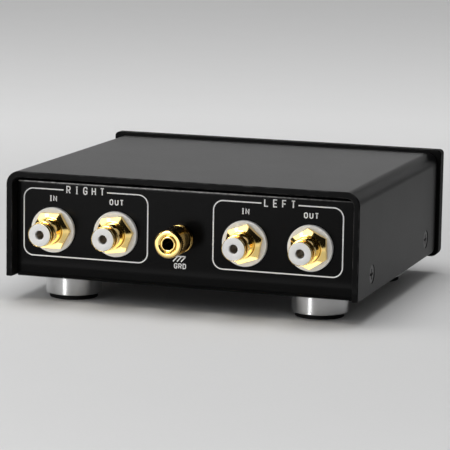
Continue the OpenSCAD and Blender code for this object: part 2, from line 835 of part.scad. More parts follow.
top_cover();
chassis();
front_panel();
front_panel_screws();
cover_screws();
for (k = [0 : 3]) {
    foot(k);
    pad(k);
    socket_shell(k);
    socket_insulator(k);
    socket_contact(k);
    socket_lead(k);
}
foot_screws();
foot_nuts();
socket_nuts();
socket_washers();
socket_bushes();
socket_tags();
ground_stud();
ground_nut();
clamp_washer();
ground_knob();
for (k = [0 : 1]) {
    can(k);
    can_base(k);
    grommet(k);
    core(k);
    bobbin(k);
    primary(k);
    secondary(k);
}
can_screws();
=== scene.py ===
"""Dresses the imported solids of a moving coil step-up transformer for rendering.

The front faces -Y, the sockets face +Y and the rubber pads stand on Z = 0. Lengths are in metres.
Right and left are those of a person who looks at the front.
"""

import json
import logging
import math
from collections.abc import Callable, Iterable, Sequence
from dataclasses import dataclass, field
from enum import Enum
from functools import reduce
from itertools import starmap
from typing import NamedTuple

import bmesh
import bpy
from mathutils import Matrix, Vector

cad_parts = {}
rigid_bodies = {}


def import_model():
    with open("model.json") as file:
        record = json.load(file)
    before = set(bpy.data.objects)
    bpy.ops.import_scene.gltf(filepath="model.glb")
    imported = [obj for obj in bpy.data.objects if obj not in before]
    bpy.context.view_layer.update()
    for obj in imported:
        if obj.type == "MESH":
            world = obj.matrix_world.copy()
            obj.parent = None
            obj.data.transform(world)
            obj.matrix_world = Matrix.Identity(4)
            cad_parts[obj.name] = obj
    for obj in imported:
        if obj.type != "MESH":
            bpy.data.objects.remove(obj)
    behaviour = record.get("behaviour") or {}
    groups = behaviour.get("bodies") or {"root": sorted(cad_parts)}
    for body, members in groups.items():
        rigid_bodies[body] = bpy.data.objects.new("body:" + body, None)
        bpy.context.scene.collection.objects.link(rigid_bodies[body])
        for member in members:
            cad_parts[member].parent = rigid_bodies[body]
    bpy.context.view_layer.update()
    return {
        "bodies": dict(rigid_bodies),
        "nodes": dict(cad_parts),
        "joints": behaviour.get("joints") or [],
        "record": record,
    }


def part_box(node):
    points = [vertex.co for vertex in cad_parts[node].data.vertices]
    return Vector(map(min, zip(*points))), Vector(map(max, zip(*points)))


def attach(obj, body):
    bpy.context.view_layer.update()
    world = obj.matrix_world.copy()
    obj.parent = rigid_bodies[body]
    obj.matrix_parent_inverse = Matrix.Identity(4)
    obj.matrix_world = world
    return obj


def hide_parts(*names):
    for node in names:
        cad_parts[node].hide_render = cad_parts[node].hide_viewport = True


LOG = logging.getLogger("step_up_transformer")
MM = 0.001
WELD = 1e-7
SHARP_ANGLE = 38.0
BEVEL_ANGLE = 24.0

Color = tuple[float, float, float]
Outline = Sequence[tuple[float, ...]]
Inputs = dict[str | int, object]

MID_GREY: Color = (0.5, 0.5, 0.5)
WHITE: Color = (1.0, 1.0, 1.0)


def opaque(color: Color) -> tuple[float, ...]:
    """Gives a colour with full cover."""
    return (*color, 1.0)


class Body(Enum):
    """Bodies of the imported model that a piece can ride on."""

    CASE = "case"
    CLAMP = "clamp"
    KNOB = "knob"


class Slot(Enum):
    """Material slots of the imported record."""

    COVER_PAINT = "cover_paint"
    PANEL_PAINT = "panel_paint"
    FRONT_PAINT = "front_paint"
    BLACK_SCREW = "black_screw"
    STEEL = "steel"
    FOOT_METAL = "foot_metal"
    PAD_RUBBER = "pad_rubber"
    GOLD = "gold"
    WHITE_PLASTIC = "white_plastic"
    CAN_METAL = "can_metal"
    LAMINATION = "lamination"
    BOBBIN_PLASTIC = "bobbin_plastic"
    COPPER = "copper"
    LEAD_SLEEVE = "lead_sleeve"


class Effect(Enum):
    """Surface effects that several finishes share as node groups."""

    GRAIN = "coat_grain"
    RUB = "edge_rub"
    SHADE = "deep_shade"
    HAZE = "handling_haze"
    MARKS = "turning_marks"
    DUST = "settled_dust"
    LAYERS = "stacked_layers"


class Facing(Enum):
    """Ways that a piece's own axes can lie, as the rows of a rotation."""

    UP = ((1, 0, 0), (0, 1, 0), (0, 0, 1))
    REAR = ((1, 0, 0), (0, 0, 1), (0, -1, 0))
    RIGHT = ((0, 0, 1), (0, 1, 0), (-1, 0, 0))
    LEFT = ((0, 0, -1), (0, 1, 0), (1, 0, 0))
    PRINT = ((-1, 0, 0), (0, 0, 1), (0, 1, 0))

    def at(self, place: Sequence[float]) -> Matrix:
        """Gives the matrix that turns a piece this way and moves it to a place."""
        return Matrix.Translation(Vector(place)) @ Matrix(self.value).to_4x4()


# Shapes


class Corner(NamedTuple):
    """A corner of a flat outline, with the radius that rounds it."""

    x: float
    y: float
    ease: float = 0.0


def eased(corners: Outline, steps: int = 4, closed: bool = True) -> list[Vector]:
    """Rounds the corners of an outline with circular arcs.

    Args:
        corners: The corners in order, each by its place and, where it is rounded, its radius.
        steps: Segments in each arc.
        closed: Whether the last corner joins the first.

    Returns:
        The points of the rounded outline.
    """
    most = 0.499
    points: list[Vector] = []
    for i, corner in enumerate(starmap(Corner, corners)):
        here = Vector(corner[:2])
        is_end = not closed and i in (0, len(corners) - 1)
        if corner.ease <= 0 or is_end:
            points.append(here)
            continue
        before = Vector(corners[i - 1][:2]) - here
        after = Vector(corners[(i + 1) % len(corners)][:2]) - here
        half_turn = (math.pi - before.angle(after)) / 2
        reach = min(corner.ease * math.tan(half_turn), most * before.length, most * after.length)
        a, b = here + before.normalized() * reach, here + after.normalized() * reach
        weight = math.cos(half_turn)
        for k in range(steps + 1):
            t = k / steps
            u, v, w = (1 - t) ** 2, 2 * t * (1 - t) * weight, t * t
            points.append((a * u + here * v + b * w) / (u + v + w))
    return points


@dataclass
class Shape:
    """Points and faces of a piece before it becomes an object."""

    points: list[Vector] = field(default_factory=list)
    faces: list[tuple[int, ...]] = field(default_factory=list)

    def ring(self, points: Iterable[Sequence[float]]) -> list[int]:
        """Adds points and gives their numbers."""
        start = len(self.points)
        self.points.extend(Vector(p) for p in points)
        return list(range(start, len(self.points)))

    def bridge(self, a: Sequence[int], b: Sequence[int], closed: bool = True) -> None:
        """Joins two rings of as many points with quads."""
        for i in range(len(a) if closed else len(a) - 1):
            j = (i + 1) % len(a)
            self.faces.append((a[i], a[j], b[j], b[i]))

    def loft(self, rings: Sequence[Sequence[int]], closed: bool = False) -> None:
        """Joins each ring to the next one, and the last to the first if closed."""
        for a, b in zip(rings, rings[1:]):
            self.bridge(a, b)
        if closed:
            self.bridge(rings[-1], rings[0])

    def cap(self, *rings: Sequence[int]) -> None:
        """Closes rings with one face each."""
        self.faces.extend(tuple(ring) for ring in rings)

    def add(self, other: "Shape", place: Matrix | None = None) -> "Shape":
        """Takes in a copy of another shape, moved by a matrix, and gives this shape back."""
        start = len(self.points)
        self.points.extend((place @ p) if place else p.copy() for p in other.points)
        self.faces.extend(tuple(i + start for i in f) for f in other.faces)
        return self

    def piece(
        self, name: str, place: Matrix | None = None, sharp: float = SHARP_ANGLE
    ) -> bpy.types.Object:
        """Makes a smooth-shaded object.

        Args:
            name: Name of the object and its mesh.
            place: The object's matrix.
            sharp: Angle in degrees from which an edge stays sharp.

        Returns:
            The new object, linked to the scene.
        """
        mesh = bpy.data.meshes.new(name)
        mesh.from_pydata(self.points, [], self.faces)
        work = bmesh.new()
        work.from_mesh(mesh)
        bmesh.ops.remove_doubles(work, verts=work.verts, dist=WELD)
        bmesh.ops.dissolve_degenerate(work, edges=work.edges, dist=WELD)
        bmesh.ops.recalc_face_normals(work, faces=work.faces)
        work.to_mesh(mesh)
        work.free()
        mesh.shade_smooth()
        mesh.set_sharp_from_angle(angle=math.radians(sharp))
        obj = bpy.data.objects.new(name, mesh)
        bpy.context.scene.collection.objects.link(obj)
        if place:
            obj.matrix_world = place
        return obj


def turned(corners: Outline, sides: int = 96) -> Shape:
    """Spins a closed half outline of radius and height about Z.

    Args:
        corners: Corners of radius and height, eased where they carry a radius.
        sides: Steps round the axis.

    Returns:
        The turned shape.
    """
    outline = eased(corners)
    shape = Shape()
    rings = []
    for p in outline:
        angles = (2 * math.pi * k / sides for k in range(sides))
        rings.append(shape.ring((p.x * math.cos(a), p.x * math.sin(a), p.y) for a in angles))
    for i, ring in enumerate(rings):
        following = (i + 1) % len(rings)
        if max(outline[i].x, outline[following].x) > WELD:
            shape.bridge(ring, rings[following])
    return shape


def slab(
    outline: Callable[[float, float], list[Vector]], stations: Sequence[float], rim: float
) -> Shape:
    """Runs an outline along Y, with rounded rims at both ends.

    Args:
        outline: Gives the points of X and Z for an inset and a station.
        stations: Places along Y in order, of which the first and last are the ends.
        rim: Radius of the rims.

    Returns:
        The shape, open at both ends.
    """
    steps = 4
    turns = [math.pi / 2 * k / steps for k in range(steps + 1)]
    first, last = stations[0], stations[-1]
    cuts = [(rim * (1 - math.sin(a)), first + rim * (1 - math.cos(a))) for a in turns]
    cuts += [(0.0, y) for y in stations[1:-1]]
    cuts += [(rim * (1 - math.sin(a)), last - rim * (1 - math.cos(a))) for a in reversed(turns)]
    shape = Shape()
    shape.loft([shape.ring((p.x, y, p.y) for p in outline(inset, y)) for inset, y in cuts])
    return shape


def hex_nut(flats: float, bore: float, height: float, chamfer: float, flat_steps: int = 10) -> Shape:
    """Makes a hex nut whose upper corners are chamfered by a cone.

    Args:
        flats: Width across the flats.
        bore: Diameter of the hole.
        height: Thickness of the nut.
        chamfer: Height of the cone at the corners.
        flat_steps: Steps along each flat.

    Returns:
        The nut, standing on Z = 0 with a corner on +X.
    """
    corner = flats / 2 / math.cos(math.pi / 6)
    land = corner - 2 * chamfer
    lead_in = 0.08 * MM
    angles = [2 * math.pi * k / (6 * flat_steps) for k in range(6 * flat_steps)]
    reach = {a: flats / 2 / math.cos(a % (math.pi / 3) - math.pi / 6) for a in angles}

    def ring(radius: Callable[[float], float], level: Callable[[float], float]) -> list[int]:
        """Adds one ring whose radius and height follow the angle."""
        return shape.ring(
            (radius(a) * math.cos(a), radius(a) * math.sin(a), level(a)) for a in angles
        )

    shape = Shape()
    shape.loft(
        [
            ring(lambda a: bore / 2, lambda a: 0.0),
            ring(lambda a: reach[a], lambda a: 0.0),
            ring(lambda a: reach[a], lambda a: height - chamfer + (corner - reach[a]) / 2),
            ring(lambda a: land, lambda a: height),
            ring(lambda a: bore / 2 + lead_in, lambda a: height),
            ring(lambda a: bore / 2, lambda a: height - lead_in),
        ],
        closed=True,
    )
    return shape


def knurled_sleeve(radius: float, depth: float, low: float, high: float, count: int) -> Shape:
    """Makes a sleeve covered with diamond knurls.

    Args:
        radius: Radius over the knurls.
        depth: Depth of the grooves.
        low: Height of the lower end.
        high: Height of the upper end.
        count: Number of diamonds round the sleeve.

    Returns:
        The closed sleeve.
    """
    shape = Shape()
    valley_r, inner_r, tip = radius - depth, radius - 2 * depth, 0.28
    half_step = math.pi / count
    rows = 2 * round((high - low) / (2 * radius * half_step))
    rise = (high - low) / rows

    def point(i: float, j: float, r: float) -> tuple[float, float, float]:
        """Gives a point by half steps round and along the sleeve."""
        return r * math.cos(i * half_step), r * math.sin(i * half_step), low + j * rise

    cells = [(i, j) for j in range(rows + 1) for i in range(2 * count)]
    valley = {c: shape.ring([point(*c, valley_r)])[0] for c in cells if sum(c) % 2 == 0}

    def at(i: int, j: int) -> int:
        """Gives the number of a groove crossing."""
        return valley[i % (2 * count), j]

    for i, j in (c for c in cells if sum(c) % 2):
        if j in (0, rows):
            shape.faces.append((at(i - 1, j), at(i + 1, j), at(i, 1 if j == 0 else rows - 1)))
            continue
        ways = ((1, 0), (0, 1), (-1, 0), (0, -1))
        corners = [at(i + a, j + b) for a, b in ways]
        tips = shape.ring(point(i + tip * a, j + tip * b, radius) for a, b in ways)
        shape.bridge(corners, tips)
        shape.cap(tips)
    ends = [[at(i, j) for i in range(0, 2 * count, 2)] for j in (0, rows)]
    inner = [shape.ring(point(i, j, inner_r) for i in range(0, 2 * count, 2)) for j in (0, rows)]
    shape.loft([ends[0], inner[0], inner[1], ends[1]])
    return shape


def ribbon(path: Sequence[Vector], width: float, low: float, high: float, closed: bool) -> Shape:
    """Lays a flat strip along a path in XY.

    Args:
        path: Points along the strip's middle.
        width: Width of the strip.
        low: Height of its underside.
        high: Height of its upper side.
        closed: Whether the last point joins the first.

    Returns:
        The closed strip.
    """
    least_cosine = 0.55
    shape = Shape()
    rings = []
    last = len(path) - 1
    for i, here in enumerate(path):
        ways = []
        if closed or i > 0:
            ways.append((here - path[i - 1]).normalized())
        if closed or i < last:
            ways.append((path[(i + 1) % len(path)] - here).normalized())
        sides = [Vector((-w.y, w.x)) for w in ways]
        mitre = sum(sides, Vector((0, 0))).normalized()
        half = mitre * (width / 2 / max(least_cosine, mitre.dot(sides[0])))
        a, b = here + half, here - half
        rings.append(shape.ring(((*a, low), (*a, high), (*b, high), (*b, low))))
    shape.loft(rings, closed)
    if not closed:
        shape.cap(rings[0], rings[-1])
    return shape


def cut_away(obj: bpy.types.Object, cutter: bpy.types.Object) -> None:
    """Takes a cutter's shape out of an object and removes the cutter.

    Args:
        obj: The object to cut.
        cutter: A closed shape that lies where the hole goes.
    """
    cut = obj.modifiers.new("cut", "BOOLEAN")
    cut.object, cut.operation, cut.solver = cutter, "DIFFERENCE", "EXACT"
    bpy.context.view_layer.update()
    whole = obj.data
    shown = obj.evaluated_get(bpy.context.evaluated_depsgraph_get())
    obj.data = bpy.data.meshes.new_from_object(shown)
    obj.modifiers.clear()
    obj.data.name = obj.name
    obj.data.set_sharp_from_angle(angle=math.radians(SHARP_ANGLE))
    bpy.data.meshes.remove(whole)
    bpy.data.objects.remove(cutter)


# Finishes


class Desk:
    """A node tree, with short calls that add and join its nodes."""

    node_step = 180

    def __init__(self, tree: bpy.types.NodeTree) -> None:
        """Takes the tree to work on."""
        self.tree = tree

    def feed(self, node: bpy.types.Node, inputs: Inputs) -> None:
        """Links output sockets to a node's inputs, or sets the inputs to plain values."""
        for key, value in inputs.items():
            if isinstance(value, bpy.types.NodeSocket):
                self.tree.links.new(value, node.inputs[key])
            else:
                node.inputs[key].default_value = value

    def node(self, kind: str, inputs: Inputs | None = None, **settings: object) -> bpy.types.Node:
        """Adds a node.

        Args:
            kind: The node's type without the ShaderNode in front of it.
            inputs: Values or output sockets for the node's inputs.
            settings: The node's own options.

        Returns:
            The new node.
        """
        node = self.tree.nodes.new(f"ShaderNode{kind}")
        node.location.x = self.node_step * len(self.tree.nodes)
        for key, value in settings.items():
            setattr(node, key, value)
        self.feed(node, inputs or {})
        return node

    def math(self, operation: str, a: object, b: object = 0.0) -> bpy.types.NodeSocket:
        """Adds a sum of two values and gives its output."""
        return self.node("Math", {0: a, 1: b}, operation=operation).outputs[0]

    def times(self, *values: object) -> bpy.types.NodeSocket:
        """Multiplies values in order and gives the output."""
        return reduce(lambda a, b: self.math("MULTIPLY", a, b), values)

    def plus(self, a: object, b: object) -> bpy.types.NodeSocket:
        """Adds two values and gives the output."""
        return self.math("ADD", a, b)

    def mix(self, share: object, a: object, b: object) -> bpy.types.NodeSocket:
        """Mixes two colours and gives the output."""
        return self.node("Mix", {0: share, 6: a, 7: b}, data_type="RGBA").outputs[2]

    def scaled(self, color: object, share: object) -> bpy.types.NodeSocket:
        """Darkens or brightens a colour by a share and gives the output."""
        return self.node("VectorMath", {0: color, 3: share}, operation="SCALE").outputs[0]

    def split(self, vector: object) -> bpy.types.NodeOutputs:
        """Parts a vector and gives its X, Y and Z."""
        return self.node("SeparateXYZ", {0: vector}).outputs

    def length(self, vector: object) -> bpy.types.NodeSocket:
        """Gives the length of a vector."""
        return self.node("VectorMath", {0: vector}, operation="LENGTH").outputs["Value"]

    def fit(
        self, value: object, low: object, high: object, to_low: object = 0.0, to_high: object = 1.0
    ) -> bpy.types.NodeSocket:
        """Maps a value from one range to another, softly and clamped, and gives the output."""
        given = {"Value": value, "From Min": low, "From Max": high, "To Min": to_low, "To Max": to_high}
        return self.node("MapRange", given, interpolation_type="SMOOTHSTEP").outputs["Result"]

    def noise(self, vector: object, scale: object, detail: float) -> bpy.types.NodeSocket:
        """Adds a noise texture and gives its value."""
        given = {"Vector": vector, "Scale": scale, "Detail": detail}
        return self.node("TexNoise", given).outputs["Fac"]

    def bump(self, height: bpy.types.NodeSocket, depth: float) -> bpy.types.NodeSocket:
        """Adds a bump of a depth in metres and gives its normal."""
        given = {"Height": height, "Distance": depth, "Strength": 1.0}
        return self.node("Bump", given).outputs[0]

    def place(self) -> bpy.types.NodeSocket:
        """Gives the point on the piece, in its own axes."""
        return self.node("TexCoord").outputs["Object"]

    def effect(self, effect: Effect, inputs: Inputs) -> bpy.types.NodeOutputs:
        """Adds a shared effect and gives the node's outputs."""
        return self.node("Group", inputs, node_tree=EffectShelf.tree(effect)).outputs


class EffectShelf:
    """The shared effects, each built once as a node group."""

    @classmethod
    def tree(cls, effect: Effect) -> bpy.types.NodeTree:
        """Gives an effect's node group, and builds it on its first use."""
        return bpy.data.node_groups.get(effect.value) or getattr(cls, effect.value)()

    @staticmethod
    def start(
        effect: Effect, inputs: dict[str, float | Color], outputs: Sequence[str]
    ) -> tuple[Desk, bpy.types.NodeOutputs, Callable]:
        """Opens a node group.

        Args:
            effect: The effect that it holds.
            inputs: Its inputs with their usual values.
            outputs: Its outputs. One with Color in its name is a colour.

        Returns:
            The desk, the group's inputs and a function that joins the outputs.
        """
        tree = bpy.data.node_groups.new(effect.value, "ShaderNodeTree")
        kinds = {True: "NodeSocketColor", False: "NodeSocketFloat"}
        for name, value in inputs.items():
            is_color = isinstance(value, tuple)
            socket = tree.interface.new_socket(name, in_out="INPUT", socket_type=kinds[is_color])
            socket.default_value = opaque(value) if is_color else value
        for name in outputs:
            tree.interface.new_socket(name, in_out="OUTPUT", socket_type=kinds["Color" in name])
        given = tree.nodes.new("NodeGroupInput").outputs
        result = tree.nodes.new("NodeGroupOutput").inputs

        def finish(**sockets: bpy.types.NodeSocket) -> bpy.types.NodeTree:
            """Joins the outputs and gives the tree."""
            for name, socket in sockets.items():
                tree.links.new(socket, result[name])
            return tree

        return Desk(tree), given, finish

    @classmethod
    def coat_grain(cls) -> bpy.types.NodeTree:
        """Fine orange peel of a sprayed or moulded coat, with a faint speckle."""
        usual = {"Color": MID_GREY, "Scale": 1500.0, "Speckle": 0.1, "Roughness": 0.4, "Spread": 0.05}
        desk, given, finish = cls.start(Effect.GRAIN, usual, ("Color", "Roughness", "Height"))
        fine_detail, broad_detail, broad_scale, fine_share = 2.0, 4.0, 0.03, 0.6
        place = desk.place()
        fine = desk.noise(place, given["Scale"], fine_detail)
        broad = desk.noise(place, desk.times(given["Scale"], broad_scale), broad_detail)
        both = desk.plus(desk.times(fine, fine_share), desk.times(broad, 1 - fine_share))
        swing = desk.times(desk.math("SUBTRACT", both, 0.5), 2.0)
        shade = desk.plus(1.0, desk.times(swing, given["Speckle"]))
        rough = desk.plus(given["Roughness"], desk.times(swing, given["Spread"]))
        return finish(Color=desk.scaled(given["Color"], shade), Roughness=rough, Height=fine)

    @classmethod
    def edge_rub(cls) -> bpy.types.NodeTree:
        """Masks of the edges where a coat is thin, of rear top bends with worn paint and a painted
        highlight line, and of edges with bare metal.
        """
        usual = {"Radius": 0.6 * MM, "Amount": 0.5, "Bend Wear And Highlight": 0.0}
        desk, given, finish = cls.start(Effect.RUB, usual, ("Mask", "Bare"))
        edge_turn, patch_noise, patch_range = (0.995, 0.9), (260.0, 5.0), (0.42, 0.62)
        rear_range, rise_range, fall_range = (0.8, 0.9), (0.2, 0.26), (0.36, 0.44, 1.0, 0.0)
        along_range, streak_noise, streak_range = (-0.06, -0.01, 0.25), (700.0, 4.0), (0.3, 0.7, 0.45)
        eased_normal = desk.node("Bevel", {"Radius": given["Radius"]}, samples=4).outputs[0]
        normal = desk.node("NewGeometry").outputs["Normal"]
        both = {0: eased_normal, 1: normal}
        turn = desk.node("VectorMath", both, operation="DOT_PRODUCT").outputs["Value"]
        place = desk.place()
        patches = desk.fit(desk.noise(place, *patch_noise), *patch_range)
        edge = desk.times(desk.fit(turn, *edge_turn), patches, given["Amount"])
        # The bend mask picks the part of the rear top bends whose normal catches the light: worn paint
        # there, together with a painted highlight.
        _, rearward, upward = desk.split(normal)
        bend = desk.times(desk.fit(upward, *rise_range), desk.fit(upward, *fall_range))
        bend = desk.times(bend, desk.fit(rearward, *rear_range))
        bend = desk.times(bend, desk.fit(desk.split(place)[0], *along_range))
        streaks = desk.fit(desk.noise(place, *streak_noise), *streak_range)
        bend = desk.times(bend, streaks, given["Bend Wear And Highlight"])
        return finish(Mask=desk.math("MAXIMUM", edge, bend), Bare=edge)

    @classmethod
    def deep_shade(cls) -> bpy.types.NodeTree:
        """Painted shade: darkens metal deep inside holes and recesses, where ambient occlusion finds
        little open sky.
        """
        usual = {"Color": MID_GREY, "Reach": 12.0 * MM, "Closed": 0.1, "Open": 0.46, "Dark": 0.02}
        desk, given, finish = cls.start(Effect.SHADE, usual, ("Color",))
        reach = {"Distance": given["Reach"]}
        open_sky = desk.node("AmbientOcclusion", reach, samples=8).outputs["AO"]
        share = desk.fit(open_sky, given["Closed"], given["Open"], given["Dark"])
        return finish(Color=desk.scaled(given["Color"], share))

    @classmethod
    def handling_haze(cls) -> bpy.types.NodeTree:
        """Soft patches of duller and brighter metal."""
        usual = {"Color": MID_GREY, "Tarnish": 0.1, "Roughness": 0.2, "Spread": 0.1}
        desk, given, finish = cls.start(Effect.HAZE, usual, ("Color", "Roughness"))
        patch_noise, patch_range = (420.0, 4.0), (0.3, 0.7)
        patches = desk.fit(desk.noise(desk.place(), *patch_noise), *patch_range)
        shade = desk.math("SUBTRACT", 1.0, desk.times(patches, given["Tarnish"]))
        rough = desk.plus(given["Roughness"], desk.times(patches, given["Spread"]))
        return finish(Color=desk.scaled(given["Color"], shade), Roughness=rough)

    @classmethod
    def turning_marks(cls) -> bpy.types.NodeTree:
        """Fine rings that a lathe leaves round a piece's own Z axis."""
        desk, given, finish = cls.start(Effect.MARKS, {"Lines": 6000.0}, ("Height",))
        radius_share, detail = 0.83, 2.0
        x, y, z = desk.split(desk.place())
        radius = desk.length(desk.node("CombineXYZ", {0: x, 1: y}).outputs[0])
        along = desk.plus(desk.times(radius, radius_share), z)
        line = desk.node("CombineXYZ", {2: along}).outputs[0]
        return finish(Height=desk.noise(line, given["Lines"], detail))

    @classmethod
    def settled_dust(cls) -> bpy.types.NodeTree:
        """Mask of thin dust on faces that look up."""
        desk, given, finish = cls.start(Effect.DUST, {"Amount": 0.1}, ("Mask",))
        level_range, patch_share = (0.55, 0.98), 0.5
        patch_noise, patch_range = (55.0, 6.0), (0.35, 0.75, 0.25)
        speck_noise, speck_range = (2600.0, 1.0), (0.7, 0.8)
        level = desk.fit(desk.split(desk.node("NewGeometry").outputs["Normal"])[2], *level_range)
        place = desk.place()
        patches = desk.fit(desk.noise(place, *patch_noise), *patch_range)
        specks = desk.fit(desk.noise(place, *speck_noise), *speck_range)
        amount = desk.plus(desk.times(patches, patch_share), specks)
        return finish(Mask=desk.times(amount, level, given["Amount"]))

    @classmethod
    def stacked_layers(cls) -> bpy.types.NodeTree:
        """Even lines across a piece's Y or Z axis, as of stacked sheet or wound wire."""
        usual = {"Lines": 2000.0, "Lean": 0.0}
        desk, given, finish = cls.start(Effect.LAYERS, usual, ("Height",))
        _, y, z = desk.split(desk.place())
        along = desk.plus(y, desk.times(desk.math("SUBTRACT", z, y), given["Lean"]))
        wave = desk.math("SINE", desk.times(along, desk.times(given["Lines"], 2 * math.pi)))
        return finish(Height=desk.plus(desk.times(wave, 0.5), 0.5))


@dataclass(frozen=True)
class Finish:
    """One finish of the record."""

    slot: Slot
    color: Color
    roughness: float
    variant: str = "look"

    def material(self) -> bpy.types.Material:
        """Gives this finish's material, and makes it on its first use."""
        name = f"{self.slot.value}_{self.variant}"
        made = bpy.data.materials.get(name)
        if made is None:
            made = bpy.data.materials.new(name)
            made.use_nodes = True
            made.diffuse_color = opaque(self.color)
            desk = Desk(made.node_tree)
            self.dress(desk, made.node_tree.nodes["Principled BSDF"])
        return made

    def dress(self, desk: Desk, shader: bpy.types.Node) -> None:
        """Joins the finish's effects to the shader."""
        raise NotImplementedError


@dataclass(frozen=True)
class Coat(Finish):
    """Paint, rubber or moulded plastic: a grained coat that can wear at its edges, carry worn paint and
    a painted highlight on rear top bends, and gather dust.
    """

    scale: float = 1500.0
    speckle: float = 0.1
    spread: float = 0.05
    depth: float = 0.02 * MM
    rub: float = 0.0
    bend_wear_and_highlight: float = 0.0
    rubbed: Color = (0.2, 0.2, 0.2)
    dust: float = 0.0
    dust_color: Color = (0.42, 0.41, 0.40)
    gloss: float = 0.5
    glow: float = 0.0
    glow_radius: Color = (1.0, 0.95, 0.9)
    glow_depth: float = 0.4 * MM

    def dress(self, desk: Desk, shader: bpy.types.Node) -> None:
        """Joins grain, dust, edge wear and the bend's wear and painted highlight to the shader."""
        given = {"Color": opaque(self.color), "Scale": self.scale, "Speckle": self.speckle}
        given |= {"Roughness": self.roughness, "Spread": self.spread}
        grain = desk.effect(Effect.GRAIN, given)
        color = grain["Color"]
        if self.dust:
            mask = desk.effect(Effect.DUST, {"Amount": self.dust})["Mask"]
            color = desk.mix(mask, color, opaque(self.dust_color))
        if self.rub:
            worn = desk.effect(Effect.RUB, {"Amount": self.rub, "Bend Wear And Highlight": self.bend_wear_and_highlight})
            color = desk.mix(worn["Mask"], color, opaque(self.rubbed))
            desk.feed(shader, {"Metallic": worn["Bare"]})
        desk.feed(
            shader,
            {
                "Base Color": color,
                "Roughness": grain["Roughness"],
                "Normal": desk.bump(grain["Height"], self.depth),
                "Specular IOR Level": self.gloss,
                "Subsurface Weight": self.glow,
                "Subsurface Radius": self.glow_radius,
                "Subsurface Scale": self.glow_depth,
            },
        )


@dataclass(frozen=True)
class Metal(Finish):
    """Bare or plated metal with lathe marks and a little haze."""

    tarnish: float = 0.08
    spread: float = 0.06
    lines: float = 6000.0
    depth: float = 0.002 * MM
    brushed: float = 0.0
    brush_turn: float = 0.25
    shade_reach: float = 0.0
    shade_dark: float = 0.02

    def dress(self, desk: Desk, shader: bpy.types.Node) -> None:
        """Joins haze, deep shade and lathe marks to the shader."""
        given = {"Color": opaque(self.color), "Tarnish": self.tarnish}
        haze = desk.effect(Effect.HAZE, given | {"Roughness": self.roughness, "Spread": self.spread})
        color = haze["Color"]
        # Painted shade: deep holes and recesses darken by ambient occlusion.
        if self.shade_reach:
            given = {"Color": color, "Reach": self.shade_reach, "Dark": self.shade_dark}
            color = desk.effect(Effect.SHADE, given)["Color"]
        marks = desk.effect(Effect.MARKS, {"Lines": self.lines})["Height"]
        desk.feed(
            shader,
            {
                "Base Color": color,
                "Roughness": haze["Roughness"],
                "Normal": desk.bump(marks, self.depth),
                "Metallic": 1.0,
                "Anisotropic": self.brushed,
                "Anisotropic Rotation": self.brush_turn,
            },
        )


@dataclass(frozen=True)
class Layered(Finish):
    """Stacked sheet or wound wire, drawn by even lines."""

    between: Color = (0.02, 0.02, 0.02)
    lines: float = 2000.0
    lean: float = 0.0
    metallic: float = 0.0
    spread: float = 0.1
    line_depth: float = 0.3

    def dress(self, desk: Desk, shader: bpy.types.Node) -> None:
        """Joins the layers' colours and height to the shader."""
        height = desk.effect(Effect.LAYERS, {"Lines": self.lines, "Lean": self.lean})["Height"]
        haze = desk.effect(Effect.HAZE, {"Roughness": self.roughness, "Spread": self.spread})
        desk.feed(
            shader,
            {
                "Base Color": desk.mix(height, opaque(self.between), opaque(self.color)),
                "Roughness": haze["Roughness"],
                "Normal": desk.bump(height, self.line_depth / self.lines),
                "Metallic": self.metallic,
            },
        )


BLACK: Color = (0.002, 0.002, 0.0021)
RUBBED_BLACK: Color = (0.12, 0.12, 0.12)

